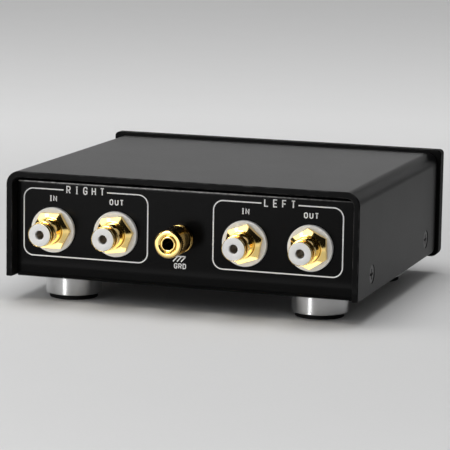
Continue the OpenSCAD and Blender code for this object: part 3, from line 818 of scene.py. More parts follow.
FINISHES: dict[Slot, Finish] = {
    finish.slot: finish
    for finish in (
        Coat(Slot.COVER_PAINT, (0.005, 0.005, 0.0052), 0.36, scale=1900.0, speckle=0.35,
             depth=0.04 * MM, rub=0.25, rubbed=RUBBED_BLACK, dust=0.03, gloss=0.1),
        # The rear panel's near-white bend line is worn paint and in part a painted highlight.
        Coat(Slot.PANEL_PAINT, BLACK, 0.2, scale=2600.0, speckle=0.2, depth=0.006 * MM,
             rub=0.005, bend_wear_and_highlight=1.0, rubbed=(0.8, 0.79, 0.78), gloss=0.06),
        Coat(Slot.FRONT_PAINT, BLACK, 0.5, scale=2600.0, speckle=0.2, depth=0.01 * MM,
             rub=0.1, rubbed=RUBBED_BLACK, gloss=0.05),
        Coat(Slot.BLACK_SCREW, (0.018, 0.018, 0.019), 0.38, scale=3000.0, speckle=0.3,
             depth=0.01 * MM, rub=0.5, rubbed=(0.16, 0.15, 0.14)),
        Coat(Slot.PAD_RUBBER, (0.004, 0.004, 0.004), 0.7, scale=2400.0, speckle=0.3,
             depth=0.04 * MM, gloss=0.1),
        Coat(Slot.WHITE_PLASTIC, (0.88, 0.87, 0.85), 0.36, scale=2000.0, speckle=0.03,
             depth=0.01 * MM, glow=0.35),
        Coat(Slot.BOBBIN_PLASTIC, (0.72, 0.68, 0.52), 0.45, scale=1600.0, speckle=0.05),
        Coat(Slot.LEAD_SLEEVE, (0.30, 0.03, 0.03), 0.4, scale=1800.0, speckle=0.08),
        # shade_reach paints shade deep in holes, such as the stud's bore and the contacts' bores.
        Metal(Slot.GOLD, (0.97, 0.72, 0.27), 0.085, tarnish=0.05, spread=0.03,
              depth=0.0005 * MM, shade_reach=12.0 * MM),
        Metal(Slot.FOOT_METAL, (0.56, 0.56, 0.56), 0.26, tarnish=0.02, spread=0.01,
              lines=9000.0, depth=0.0003 * MM, brushed=0.85),
        Metal(Slot.STEEL, (0.74, 0.68, 0.60), 0.4, shade_reach=0.8 * MM, shade_dark=0.8),
        Metal(Slot.CAN_METAL, (0.52, 0.52, 0.52), 0.34, tarnish=0.15, lines=3000.0),
        Layered(Slot.LAMINATION, (0.34, 0.34, 0.36), 0.45, lines=2800.0, metallic=0.8),
        Layered(Slot.COPPER, (0.62, 0.26, 0.10), 0.32, between=(0.10, 0.03, 0.01),
                lines=8000.0, lean=1.0, metallic=0.9),
    )
}
PRINT_INK = Coat(Slot.PANEL_PAINT, (0.97, 0.97, 0.97), 0.5, "print_ink", scale=3500.0,
                 speckle=0.12, depth=0.006 * MM)
# Darker copy of the cover paint on the rear-facing rim: painted shade. Its lighter rubbed edge is edge
# wear and in part a painted highlight on the rim's top edge.
RIM_SHADE_PAINT = Coat(Slot.COVER_PAINT, (0.003, 0.003, 0.0031), 0.34, "rim", scale=1900.0,
                 speckle=0.2, rub=0.25, rubbed=(0.3, 0.3, 0.3), gloss=0.05)
# Darker copy of the gold for the shells' grooves: painted shade.
GROOVE_SHADE_GOLD = Metal(Slot.GOLD, (0.10, 0.06, 0.02), 0.3, "groove_shade", tarnish=0.3, spread=0.1)
# Darker copy of the gold for the knob's knurl, its front ring's outer edge, the stud's collar and the
# clamp washer: painted shade.
SHADOWED_GOLD = Metal(Slot.GOLD, (0.26, 0.17, 0.055), 0.08, "knurl", tarnish=0.4, spread=0.05)


# Sub-assemblies


@dataclass
class SubAssembly:
    """Pieces that are built and dressed together."""

    def settle(
        self,
        piece: bpy.types.Object,
        slot: Slot,
        replaces: Sequence[str] = (),
        body: Body = Body.CASE,
        bevel: float = 0.0,
    ) -> bpy.types.Object:
        """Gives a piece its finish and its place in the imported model.

        Args:
            piece: The piece, in its place at rest.
            slot: Material slot whose finish it takes.
            replaces: Nodes that it stands for.
            body: The body that it rides on.
            bevel: Width of the rounding of its sharp edges.

        Returns:
            The piece.
        """
        piece.data.materials.clear()
        piece.data.materials.append(FINISHES[slot].material())
        if bevel:
            edge = piece.modifiers.new("edges", "BEVEL")
            edge.width, edge.segments, edge.limit_method = bevel, 2, "ANGLE"
            edge.angle_limit = math.radians(BEVEL_ANGLE)
            edge.use_clamp_overlap = True
        weigh = piece.modifiers.new("flat_faces", "WEIGHTED_NORMAL")
        weigh.keep_sharp = not bevel
        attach(piece, body.value)
        if replaces:
            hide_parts(*replaces)
        stands_for = ", ".join(replaces) or "no node"
        LOG.info("%s rides on %s and stands for %s", piece.name, body.value, stands_for)
        return piece

    @staticmethod
    def refinish(
        piece: bpy.types.Object, finish: Finish, chosen: Callable[[bpy.types.MeshPolygon], bool]
    ) -> None:
        """Gives some faces of a settled piece another finish.

        Args:
            piece: The piece.
            finish: The finish of those faces.
            chosen: Tells whether a face gets it.
        """
        piece.data.materials.append(finish.material())
        for face in piece.data.polygons:
            if chosen(face):
                face.material_index = 1

    @staticmethod
    def band(outer: float, low: float, high: float) -> Callable[[bpy.types.MeshPolygon], bool]:
        """Gives a test for faces of a turned piece inside a radius and between two heights."""
        return lambda face: low < face.center.z < high and face.center.xy.length < outer


@dataclass
class CaseSkin(SubAssembly):
    """The cover, the front panel and the screws that show on the sides."""

    sheet: float = 2.3 * MM
    bend: float = 4.9 * MM
    low_corner: float = 4.5 * MM
    sheet_ease: float = 0.35 * MM
    front_top_r: float = 1.5 * MM
    front_low_r: float = 3.0 * MM
    front_ease: float = 0.5 * MM
    head_d: float = 6.6 * MM
    head_h: float = 1.6 * MM
    shank_d: float = 3.0 * MM
    head_inset: float = 0.2 * MM
    recess_w: float = 4.0 * MM
    recess_arm: float = 0.95 * MM
    recess_depth: float = 1.1 * MM
    side_screw_rear: float = 18.4 * MM
    side_screw_front: float = 15.6 * MM
    side_screw_z: float = 7.0 * MM
    hole_gap: float = 0.15 * MM
    cut_past: float = 1.0 * MM
    hole_sides: int = 48
    screw_len: float = 5.0 * MM
    screw_sides: int = 64
    tip_ease: float = 0.3 * MM
    head_edge_h: float = 0.25 * MM
    head_edge: float = 0.1 * MM
    recess_taper: float = 0.55
    recess_steps: int = 3
    bend_steps: int = 12
    corner_steps: int = 10
    first_step: int = 3
    rearward: float = 0.5

    def build(self) -> None:
        """Makes the cover, the front panel and the cover screws."""
        self.lo, self.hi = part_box("top_cover")
        cover = self.cover()
        places = self.screw_places()
        for place in places:
            cut_away(cover, self.countersink().piece("countersink", place))
        self.settle(cover, Slot.COVER_PAINT, ["top_cover"])
        rim_y = self.hi.y - self.sheet_ease
        # The rim faces that look rearward take the darker paint: painted shade.
        self.refinish(
            cover,
            RIM_SHADE_PAINT,
            lambda face: face.center.y > rim_y and face.normal.y > self.rearward,
        )
        self.settle(self.front_panel(), Slot.FRONT_PAINT, ["front_panel"])
        head = self.screw_head().piece("screw_head")
        cut_away(head, self.cross().piece("cross"))
        screws = self.copies(head, "cover_screws_look", places)
        self.settle(screws, Slot.BLACK_SCREW, ["cover_screws"])

    def cover(self) -> bpy.types.Object:
        """Makes the U-shaped cover with eased sheet edges and rounded lower front corners."""
        lo, hi, t, ease, low_r = self.lo, self.hi, self.sheet, self.sheet_ease, self.low_corner

        def outline(inset: float, y: float) -> list[Vector]:
            """Gives the sheet's section at a station, with its faces drawn in by the inset."""
            drop = max(0.0, low_r - (y - lo.y))
            low = lo.z + low_r - math.sqrt(max(0.0, low_r**2 - drop**2)) + inset
            x, top, bend = hi.x - inset, hi.z - inset, self.bend - inset
            corners = [(x, low, ease), (x, top, bend), (-x, top, bend), (-x, low, ease)]
            x, top, bend = hi.x - t + inset, hi.z - t + inset, self.bend - t + inset
            corners += [(-x, low, ease), (-x, top, bend), (x, top, bend), (x, low, ease)]
            return eased(corners, self.bend_steps)

        steps = range(self.first_step, self.corner_steps + 1)
        turns = [math.pi / 2 * k / self.corner_steps for k in steps]
        shape = slab(outline, [lo.y, *(lo.y + low_r * (1 - math.cos(a)) for a in turns), hi.y], ease)
        count = len(outline(0.0, hi.y))
        for ring_start in (0, len(shape.points) - count):
            for i in range(count // 2 - 1):
                a, b = ring_start + i, ring_start + count - 1 - i
                shape.faces.append((a, a + 1, b - 1, b))
        return shape.piece("cover_look")

    def front_panel(self) -> bpy.types.Object:
        """Makes the front panel as a plate with rounded corners and eased edges."""
        lo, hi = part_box("front_panel")

        def outline(inset: float, y: float) -> list[Vector]:
            """Gives the plate's outline, drawn in by the inset."""
            low_r, top_r = self.front_low_r - inset, self.front_top_r - inset
            left, right, low, top = lo.x + inset, hi.x - inset, lo.z + inset, hi.z - inset
            corners = [(left, low, low_r), (right, low, low_r), (right, top, top_r), (left, top, top_r)]
            return eased(corners, self.corner_steps)

        shape = slab(outline, [lo.y, hi.y], self.front_ease)
        count = len(outline(0.0, lo.y))
        last = len(shape.points) - count
        shape.cap(range(count), range(last, last + count))
        return shape.piece("front_panel_look")

    def screw_places(self) -> list[Matrix]:
        """Gives a matrix for each cover screw, with Z out of the cover."""
        z = self.lo.z + self.side_screw_z
        return [
            facing.at((x, y, z))
            for facing, x in ((Facing.RIGHT, self.hi.x), (Facing.LEFT, self.lo.x))
            for y in (self.hi.y - self.side_screw_rear, self.lo.y + self.side_screw_front)
        ]

    def countersink(self) -> Shape:
        """Makes the cutter for a cover screw's hole."""
        r, shank = self.head_d / 2 + self.hole_gap, self.shank_d / 2 + self.hole_gap
        past, deep = self.cut_past, self.sheet + self.cut_past
        corners = [(0, -deep), (shank, -deep), (shank, -self.head_h), (r, 0), (r, past), (0, past)]
        return turned(corners, self.hole_sides)

    def screw_head(self) -> Shape:
        """Makes a countersunk screw, whose head lies a little inside the cover's face."""
        r, shank, edge = self.head_d / 2, self.shank_d / 2, self.head_edge
        top, end = -self.head_inset, -self.screw_len
        corners = [(0, end), (shank, end, self.tip_ease), (shank, -self.head_h)]
        corners += [(r, top - self.head_edge_h, edge), (r - edge, top, 2 * edge), (0, top)]
        return turned(corners, self.screw_sides)

    def cross(self) -> Shape:
        """Makes the cutter for a cross recess, which narrows as it deepens."""
        shape = Shape()
        rings = []
        levels = ((self.cut_past, 1.0), (-self.head_inset, 1.0), (-self.recess_depth, self.recess_taper))
        for z, share in levels:
            a, b = self.recess_arm / 2, self.recess_w / 2 * share
            corners = []
            for k in range(4):
                turn = Matrix.Rotation(math.pi / 2 * k, 2)
                corners += [(*(turn @ Vector(c)), a / 2) for c in ((b, -a), (b, a), (a, a))]
            rings.append(shape.ring((p.x, p.y, z) for p in eased(corners, self.recess_steps)))
        shape.loft(rings)
        shape.cap(rings[0], rings[-1])
        return shape

    @staticmethod
    def copies(model: bpy.types.Object, name: str, places: Sequence[Matrix]) -> bpy.types.Object:
        """Joins copies of a model into one object and removes the model.

        Args:
            model: The object to copy.
            name: Name of the joined object.
            places: A matrix for each copy.

        Returns:
            The joined object.
        """
        mesh = model.data
        shape = Shape([v.co.copy() for v in mesh.vertices], [tuple(p.vertices) for p in mesh.polygons])
        joined = Shape()
        for place in places:
            joined.add(shape, place)
        bpy.data.objects.remove(model)
        return joined.piece(name)


@dataclass
class Foot(SubAssembly):
    """A turned metal foot with its rubber pad."""

    corner: str
    screw_d: float = 4.1 * MM
    head_d: float = 8.1 * MM
    head_h: float = 2.6 * MM
    chamfer: float = 0.2 * MM
    edge_ease: float = 0.1 * MM
    top_ease: float = 0.3 * MM
    pad_ease: float = 0.25 * MM
    seat_gap: float = 0.05 * MM
    sides: int = 128

    def build(self) -> None:
        """Makes the foot and its pad."""
        lo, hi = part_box(f"foot_{self.corner}")
        pad_lo, pad_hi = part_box(f"pad_{self.corner}")
        r, h, edge = (hi.x - lo.x) / 2, hi.z - lo.z, self.edge_ease
        pad_r, pad_h = (pad_hi.x - pad_lo.x) / 2, pad_hi.z - pad_lo.z
        seat, seat_r = pad_hi.z - lo.z, pad_r + self.seat_gap
        head_r, head_z, screw_r = self.head_d / 2, seat + self.head_h, self.screw_d / 2
        foot = [(seat_r, 0, edge), (r - self.chamfer, 0, edge), (r, self.chamfer, edge)]
        foot += [(r, h, self.top_ease), (screw_r, h), (screw_r, head_z)]
        foot += [(head_r, head_z), (head_r, seat), (seat_r, seat)]
        pad = [(0, 0), (pad_r, 0, self.pad_ease), (pad_r, pad_h), (0, pad_h)]
        middle = (lo + hi) / 2
        for kind, shape, low, slot in (
            ("foot", turned(foot, self.sides), lo.z, Slot.FOOT_METAL),
            ("pad", turned(pad), pad_lo.z, Slot.PAD_RUBBER),
        ):
            name = f"{kind}_{self.corner}"
            place = Facing.UP.at((middle.x, middle.y, low))
            self.settle(shape.piece(f"{name}_look", place), slot, [name])


@dataclass
class Sockets(SubAssembly):
    """The four phono sockets with their nuts and insulating washers."""

    names: tuple[str, ...] = ("right_in", "right_out", "left_in", "left_out")
    nut_angles: tuple[float, ...] = (1.0, 8.0, 19.0, 33.0)
    ring_len: float = 1.6 * MM
    groove_w: float = 1.6 * MM
    groove_d: float = 7.2 * MM
    ease: float = 0.12 * MM
    ring_d: float = 8.3 * MM
    thread_d: float = 9.0 * MM
    flange_t: float = 1.5 * MM
    flange_d: float = 12.4 * MM
    head_d: float = 8.0 * MM
    head_len: float = 1.2 * MM
    body_d: float = 6.2 * MM
    hole_d: float = 3.3 * MM
    lip: float = 1.5 * MM
    contact_d: float = 4.6 * MM
    nut_flats: float = 12.5 * MM
    nut_cone: float = 1.1 * MM
    nut_bevel: float = 0.14 * MM
    washer_ease: float = 0.3 * MM
    mouth_ease: float = 0.2 * MM
    seat_ease: float = 0.03 * MM
    face_ease: float = 0.15 * MM
    panel_hole_r: float = 5.25 * MM
    seat_gap: float = 0.05 * MM

    def build(self) -> None:
        """Makes every socket, then the nuts and washers as one piece each."""
        self.panel_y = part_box("chassis")[1].y
        nut_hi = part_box("socket_nuts")[1]
        washer_lo, washer_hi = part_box("socket_washers")
        washer_top, nut_top = washer_hi.y - self.panel_y, nut_hi.y - self.panel_y
        nuts, washers = Shape(), Shape()
        bore = self.thread_d + 2 * self.seat_gap
        nut = hex_nut(self.nut_flats, bore, nut_top - washer_top, self.nut_cone)
        shoulder, hole_r = washer_lo.y - self.panel_y, self.panel_hole_r
        washer_r = (washer_hi.z - washer_lo.z) / 2
        corners = [(bore / 2, shoulder), (hole_r, shoulder), (hole_r, 0), (washer_r, 0, self.ease)]
        corners += [(washer_r, washer_top, self.washer_ease), (bore / 2, washer_top, self.ease)]
        washer = turned(corners)
        for name, angle in zip(self.names, self.nut_angles):
            lo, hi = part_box(f"{name}_shell")
            place = Facing.REAR.at(((lo.x + hi.x) / 2, self.panel_y, (lo.z + hi.z) / 2))
            spin = Matrix.Rotation(math.radians(angle), 4, "Z")
            nuts.add(nut, place @ (Matrix.Translation((0, 0, washer_top)) @ spin))
            washers.add(washer, place)
            inner, outer = lo.y - self.panel_y, hi.y - self.panel_y
            shell = self.shell(inner, outer).piece(f"{name}_shell_look", place)
            self.settle(shell, Slot.GOLD, [f"{name}_shell"])
            groove_high = outer - self.ring_len
            groove_low = groove_high - self.groove_w
            in_groove = self.band(self.groove_d / 2 + WELD, groove_low, groove_high)
            # The groove takes the darker gold: painted shade.
            self.refinish(shell, GROOVE_SHADE_GOLD, in_groove)
            insulator = self.insulator(inner, outer).piece(f"{name}_insulator_look", place)
            self.settle(insulator, Slot.WHITE_PLASTIC, [f"{name}_insulator"])
        nut_piece = nuts.piece("socket_nuts_look")
        self.settle(nut_piece, Slot.GOLD, ["socket_nuts"], bevel=self.nut_bevel)
        washer_piece = washers.piece("socket_washers_look")
        self.settle(washer_piece, Slot.WHITE_PLASTIC, ["socket_washers"])

    def shell(self, inner: float, outer: float) -> Shape:
        """Makes a shell with its front ring, its groove and its smooth barrel.

        Args:
            inner: Height of its inner end over the rear panel.
            outer: Height of its mouth.

        Returns:
            The shell.
        """
        e, ring_r, thread_r = self.ease, self.ring_d / 2, self.thread_d / 2
        groove_r, flange_r = self.groove_d / 2, self.flange_d / 2
        ring_low = outer - self.ring_len
        thread_high = ring_low - self.groove_w
        bore_r, head_r = self.body_d / 2 + self.seat_gap, self.head_d / 2 + self.seat_gap
        seat, head_z = inner + self.flange_t, outer - self.head_len
        corners = [(bore_r, inner), (flange_r, inner, e), (flange_r, seat, e), (thread_r, seat)]
        corners += [(thread_r, thread_high, 2 * e), (groove_r, thread_high), (groove_r, ring_low)]
        corners += [(ring_r, ring_low, e), (ring_r, outer, self.mouth_ease)]
        corners += [(head_r, outer, self.seat_ease), (head_r, head_z), (bore_r, head_z)]
        return turned(corners)

    def insulator(self, inner: float, outer: float) -> Shape:
        """Makes the white body that carries the contact, with an eased face and hole.

        Args:
            inner: Height of its inner end over the rear panel.
            outer: Height of its face.

        Returns:
            The insulator.
        """
        contact_r, body_r, head_r = self.contact_d / 2, self.body_d / 2, self.head_d / 2
        hole_r, head_z, lip_z = self.hole_d / 2, outer - self.head_len, outer - self.lip
        corners = [(contact_r, inner), (body_r, inner), (body_r, head_z), (head_r, head_z)]
        corners += [(head_r, outer, self.face_ease), (hole_r, outer, self.ease)]
        corners += [(hole_r, lip_z), (contact_r, lip_z)]
        return turned(corners)


@dataclass
class GroundPost(SubAssembly):
    """The hollow stud, its clamp washer and its knurled knob."""

    collar_t: float = 1.2 * MM
    stud_d: float = 5.4 * MM
    tail_d: float = 5.0 * MM
    hole_d: float = 4.1 * MM
    hole_depth: float = 10.0 * MM
    knob_ring: float = 1.9 * MM
    groove_w: float = 0.7 * MM
    groove: float = 0.5 * MM
    bevel: float = 0.7 * MM
    run_gap: float = 0.05 * MM
    knurls: int = 40
    knurl_depth: float = 0.3 * MM
    base_ring: float = 0.35 * MM
    shaded_edge: float = 0.35 * MM
    ease: float = 0.15 * MM
    collar_ease: float = 0.3 * MM
    mouth_ease: float = 0.25 * MM
    front_ease: float = 0.7 * MM
    knurl_ease: float = 0.1 * MM
    knurl_overlap: float = 0.05 * MM
    knob_sides: int = 144
    knob_sharp: float = 25.0

    def build(self) -> None:
        """Makes the stud, the clamp washer and the knob."""
        panel_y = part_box("chassis")[1].y

        def sizes(node: str) -> tuple[float, float, float]:
            """Gives a node's radius and its ends over the rear panel."""
            lo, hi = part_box(node)
            return (hi.x - lo.x) / 2, lo.y - panel_y, hi.y - panel_y

        stud_lo, stud_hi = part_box("ground_stud")
        middle = (stud_lo + stud_hi) / 2
        place = Facing.REAR.at((middle.x, panel_y, middle.z))
        stud = self.stud(*sizes("ground_stud")).piece("ground_stud_look", place)
        self.settle(stud, Slot.GOLD, ["ground_stud"])
        collar_top = self.collar_t + WELD
        # The collar takes the darker gold: painted shade.
        self.refinish(stud, SHADOWED_GOLD, lambda face: -WELD < face.center.z < collar_top)

        bore = self.stud_d / 2 + self.run_gap
        r, low, high = sizes("clamp_washer")
        corners = [(bore, low), (r, low, self.ease), (r, high, self.ease), (bore, high, self.ease / 2)]
        washer = turned(corners).piece("clamp_washer_look", place)
        self.settle(washer, Slot.GOLD, ["clamp_washer"], Body.CLAMP)
        # The whole clamp washer takes the darker gold: painted shade.
        washer.data.materials[0] = SHADOWED_GOLD.material()

        r, low, high = sizes("ground_knob")
        knob = self.knob(r, bore, low, high).piece("ground_knob_look", place, self.knob_sharp)
        self.settle(knob, Slot.GOLD, ["ground_knob"], Body.KNOB)
        ring_low, edge_r = high - self.knob_ring, r - self.shaded_edge
        in_knurl = self.band(r + WELD, low + self.base_ring, ring_low)

        def is_shaded(face: bpy.types.MeshPolygon) -> bool:
            """Tells whether a face of the knob lies in the knurl or on the front ring's edge, which take
            the darker gold as painted shade.
            """
            return in_knurl(face) or (face.center.z > ring_low and face.center.xy.length > edge_r)

        self.refinish(knob, SHADOWED_GOLD, is_shaded)

    def stud(self, collar_r: float, inner: float, outer: float) -> Shape:
        """Makes the stud with its collar and its plug hole.

        Args:
            collar_r: Radius of the collar that seats on the panel.
            inner: Height of the tail's end over the rear panel.
            outer: Height of the stud's mouth.

        Returns:
            The stud.
        """
        bottom, e = outer - self.hole_depth, self.mouth_ease
        tail_r, stud_r, hole_r = self.tail_d / 2, self.stud_d / 2, self.hole_d / 2
        corners = [(0, inner), (tail_r, inner, self.collar_ease), (tail_r, 0)]
        corners += [(collar_r, 0, self.ease), (collar_r, self.collar_t, self.collar_ease)]
        corners += [(stud_r, self.collar_t), (stud_r, outer, e), (hole_r, outer, e)]
        corners += [(hole_r, bottom), (0, bottom)]
        return turned(corners)

    def knob(self, r: float, bore: float, low: float, high: float) -> Shape:
        """Makes the knob with a plain front ring, a groove and a diamond-knurled barrel.

        Args:
            r: Radius of the knob.
            bore: Radius of its bore.
            low: Height of its inner end over the rear panel.
            high: Height of its front face.

        Returns:
            The knob.
        """
        e, core, groove_r = self.ease, r - self.knurl_depth - self.knurl_overlap, r - self.groove
        knurl_low, ring_low = low + self.base_ring, high - self.knob_ring
        knurl_high = ring_low - self.groove_w
        corners = [(bore, low), (r, low, e), (r, knurl_low, self.knurl_ease), (core, knurl_low)]
        corners += [(core, knurl_high), (groove_r, knurl_high), (groove_r, ring_low), (r, ring_low, e)]
        corners += [(r, high, self.front_ease), (bore + self.bevel, high, e), (bore, high - self.bevel)]
        sleeve = knurled_sleeve(r, self.knurl_depth, knurl_low, knurl_high, self.knurls)
        return turned(corners, self.knob_sides).add(sleeve)


class Stroke(NamedTuple):
    """One pen stroke of a letter, in parts of the letter's width and height."""

    corners: Outline
    closed: bool = False


LETTERS: dict[str, tuple[Stroke, ...]] = {
    "D": (Stroke([(0, 0), (0, 1), (1, 1, 0.5), (1, 0, 0.5)], True),),
    "E": (Stroke([(1, 1), (0, 1), (0, 0), (1, 0)]), Stroke([(0, 0.5), (0.85, 0.5)])),
    "F": (Stroke([(1, 1), (0, 1), (0, 0)]), Stroke([(0, 0.5), (0.85, 0.5)])),
    "G": (
        Stroke([(1, 0.74), (1, 1, 0.5), (0, 1, 0.5), (0, 0, 0.5), (1, 0, 0.5), (1, 0.45), (0.5, 0.45)]),
    ),
    "H": (Stroke([(0, 0), (0, 1)]), Stroke([(1, 0), (1, 1)]), Stroke([(0, 0.5), (1, 0.5)])),
    "I": (Stroke([(0.5, 0), (0.5, 1)]), Stroke([(0.22, 0), (0.78, 0)]), Stroke([(0.22, 1), (0.78, 1)])),
    "L": (Stroke([(0, 1), (0, 0), (1, 0)]),),
    "N": (Stroke([(0, 0), (0, 1), (1, 0), (1, 1)]),),
    "O": (Stroke([(0, 0, 0.5), (0, 1, 0.5), (1, 1, 0.5), (1, 0, 0.5)], True),),
    "R": (
        Stroke([(0, 0), (0, 1), (1, 1, 0.45), (1, 0.46, 0.45), (0, 0.46)]),
        Stroke([(0.5, 0.46), (1, 0)]),
    ),
    "T": (Stroke([(0.5, 0), (0.5, 1)]), Stroke([(0, 1), (1, 1)])),
    "U": (Stroke([(0, 1), (0, 0, 0.5), (1, 0, 0.5), (1, 1)]),),
}


@dataclass(frozen=True)
class Word:
    """A plain word on the rear panel, by its middle and its letters' spacing, in millimetres."""

    text: str
    x: float
    z: float
    pitch: float
    width: float = 1.05
    height: float = 1.75
    weight: float = 0.39
    steps: int = 5

    def shape(self, low: float, high: float) -> Shape:
        """Draws the word as thin strips between two heights over the panel."""
        shape = Shape()
        width, height = self.width * MM, self.height * MM
        for i, letter in enumerate(self.text):
            middle = self.x * MM + (i - (len(self.text) - 1) / 2) * self.pitch * MM
            x, z = middle - width / 2, self.z * MM - height / 2
            for stroke in LETTERS[letter]:
                corners = [
                    (x + c.x * width, z + c.y * height, c.ease * width)
                    for c in starmap(Corner, stroke.corners)
                ]
                path = eased(corners, self.steps, stroke.closed)
                shape.add(ribbon(path, self.weight * MM, low, high, stroke.closed))
        return shape


@dataclass
class RearPrint(SubAssembly):
    """The frames, plain words and ground sign printed on the rear panel, as seen from the rear."""

    outer_x: float = 59.0 * MM
    inner_x: float = 12.14 * MM
    low_z: float = 7.5 * MM
    high_z: float = 31.64 * MM
    corner_r: float = 3.5 * MM
    corner_steps: int = 10
    line: float = 0.44 * MM
    right_gap: tuple[float, float] = (-44.0 * MM, -27.5 * MM)
    left_gap: tuple[float, float] = (29.5 * MM, 42.9 * MM)
    sign_half: float = 2.15 * MM
    sign_high: float = 10.85 * MM
    sign_low: float = 8.95 * MM
    sign_lean: float = 1.7 * MM
    sign_line: float = 0.42 * MM
    sign_strokes: tuple[float, ...] = (-0.38, 0.3, 0.98)
    sink: float = 0.02 * MM
    lift: float = 0.03 * MM
    words: tuple[Word, ...] = (
        Word("RIGHT", -35.68, 31.8, 3.2, 1.2, 2.4, 0.42),
        Word("LEFT", 36.17, 31.85, 3.24, 1.22, 2.4, 0.42),
        Word("IN", -47.95, 28.4, 1.62),
        Word("OUT", -23.85, 28.4, 1.95),
        Word("IN", 23.7, 28.4, 1.62),
        Word("OUT", 47.55, 28.4, 1.95),
        Word("GRD", 0.07, 7.4, 1.6, 0.95, 1.6, 0.34),
    )

    def build(self) -> None:
        """Prints both frames, the words and the ground sign in one piece."""
        panel_y, base_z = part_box("chassis")[1].y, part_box("top_cover")[0].z
        stud_lo, stud_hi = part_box("ground_stud")
        place = Facing.PRINT.at(((stud_lo.x + stud_hi.x) / 2, panel_y, base_z))
        shape = Shape()
        shape.add(self.frame(-self.outer_x, -self.inner_x, self.right_gap))
        shape.add(self.frame(self.inner_x, self.outer_x, self.left_gap))
        for word in self.words:
            shape.add(word.shape(-self.sink, self.lift))
        shape.add(self.ground_sign())
        piece = self.settle(shape.piece("rear_print", place), Slot.PANEL_PAINT)
        piece.data.materials[0] = PRINT_INK.material()

    def frame(self, left: float, right: float, gap: tuple[float, float]) -> Shape:
        """Draws a rounded frame that is open for its word at the top."""
        r, high, low = self.corner_r, self.high_z, self.low_z
        corners = [(gap[0], high), (left, high, r), (left, low, r)]
        corners += [(right, low, r), (right, high, r), (gap[1], high)]
        path = eased(corners, self.corner_steps, False)
        return ribbon(path, self.line, -self.sink, self.lift, False)

    def ground_sign(self) -> Shape:
        """Draws the chassis ground sign: a bar with slanted strokes below it."""
        half, high, low = self.sign_half, self.sign_high, self.sign_low
        paths = [((-half, high), (half, high))]
        paths += [((s * half, high), (s * half - self.sign_lean, low)) for s in self.sign_strokes]
        shape = Shape()
        for path in paths:
            ends = [Vector(end) for end in path]
            shape.add(ribbon(ends, self.sign_line, -self.sink, self.lift, False))
        return shape


@dataclass
class PackedNodes(SubAssembly):
    """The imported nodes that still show, which only get their finishes."""

    frame: dict

    def build(self) -> None:
        """Gives each node that shows the finish of its slot."""
        for part in self.frame["record"]["subparts"]:
            node = self.frame["nodes"][part["node"]]
            if node.hide_render:
                continue
            slot = Slot(part["material_slot"])
            for holder in node.material_slots:
                holder.material = FINISHES[slot].material()
            LOG.info("%s keeps its solid, finished as %s", node.name, slot.value)


# Surroundings


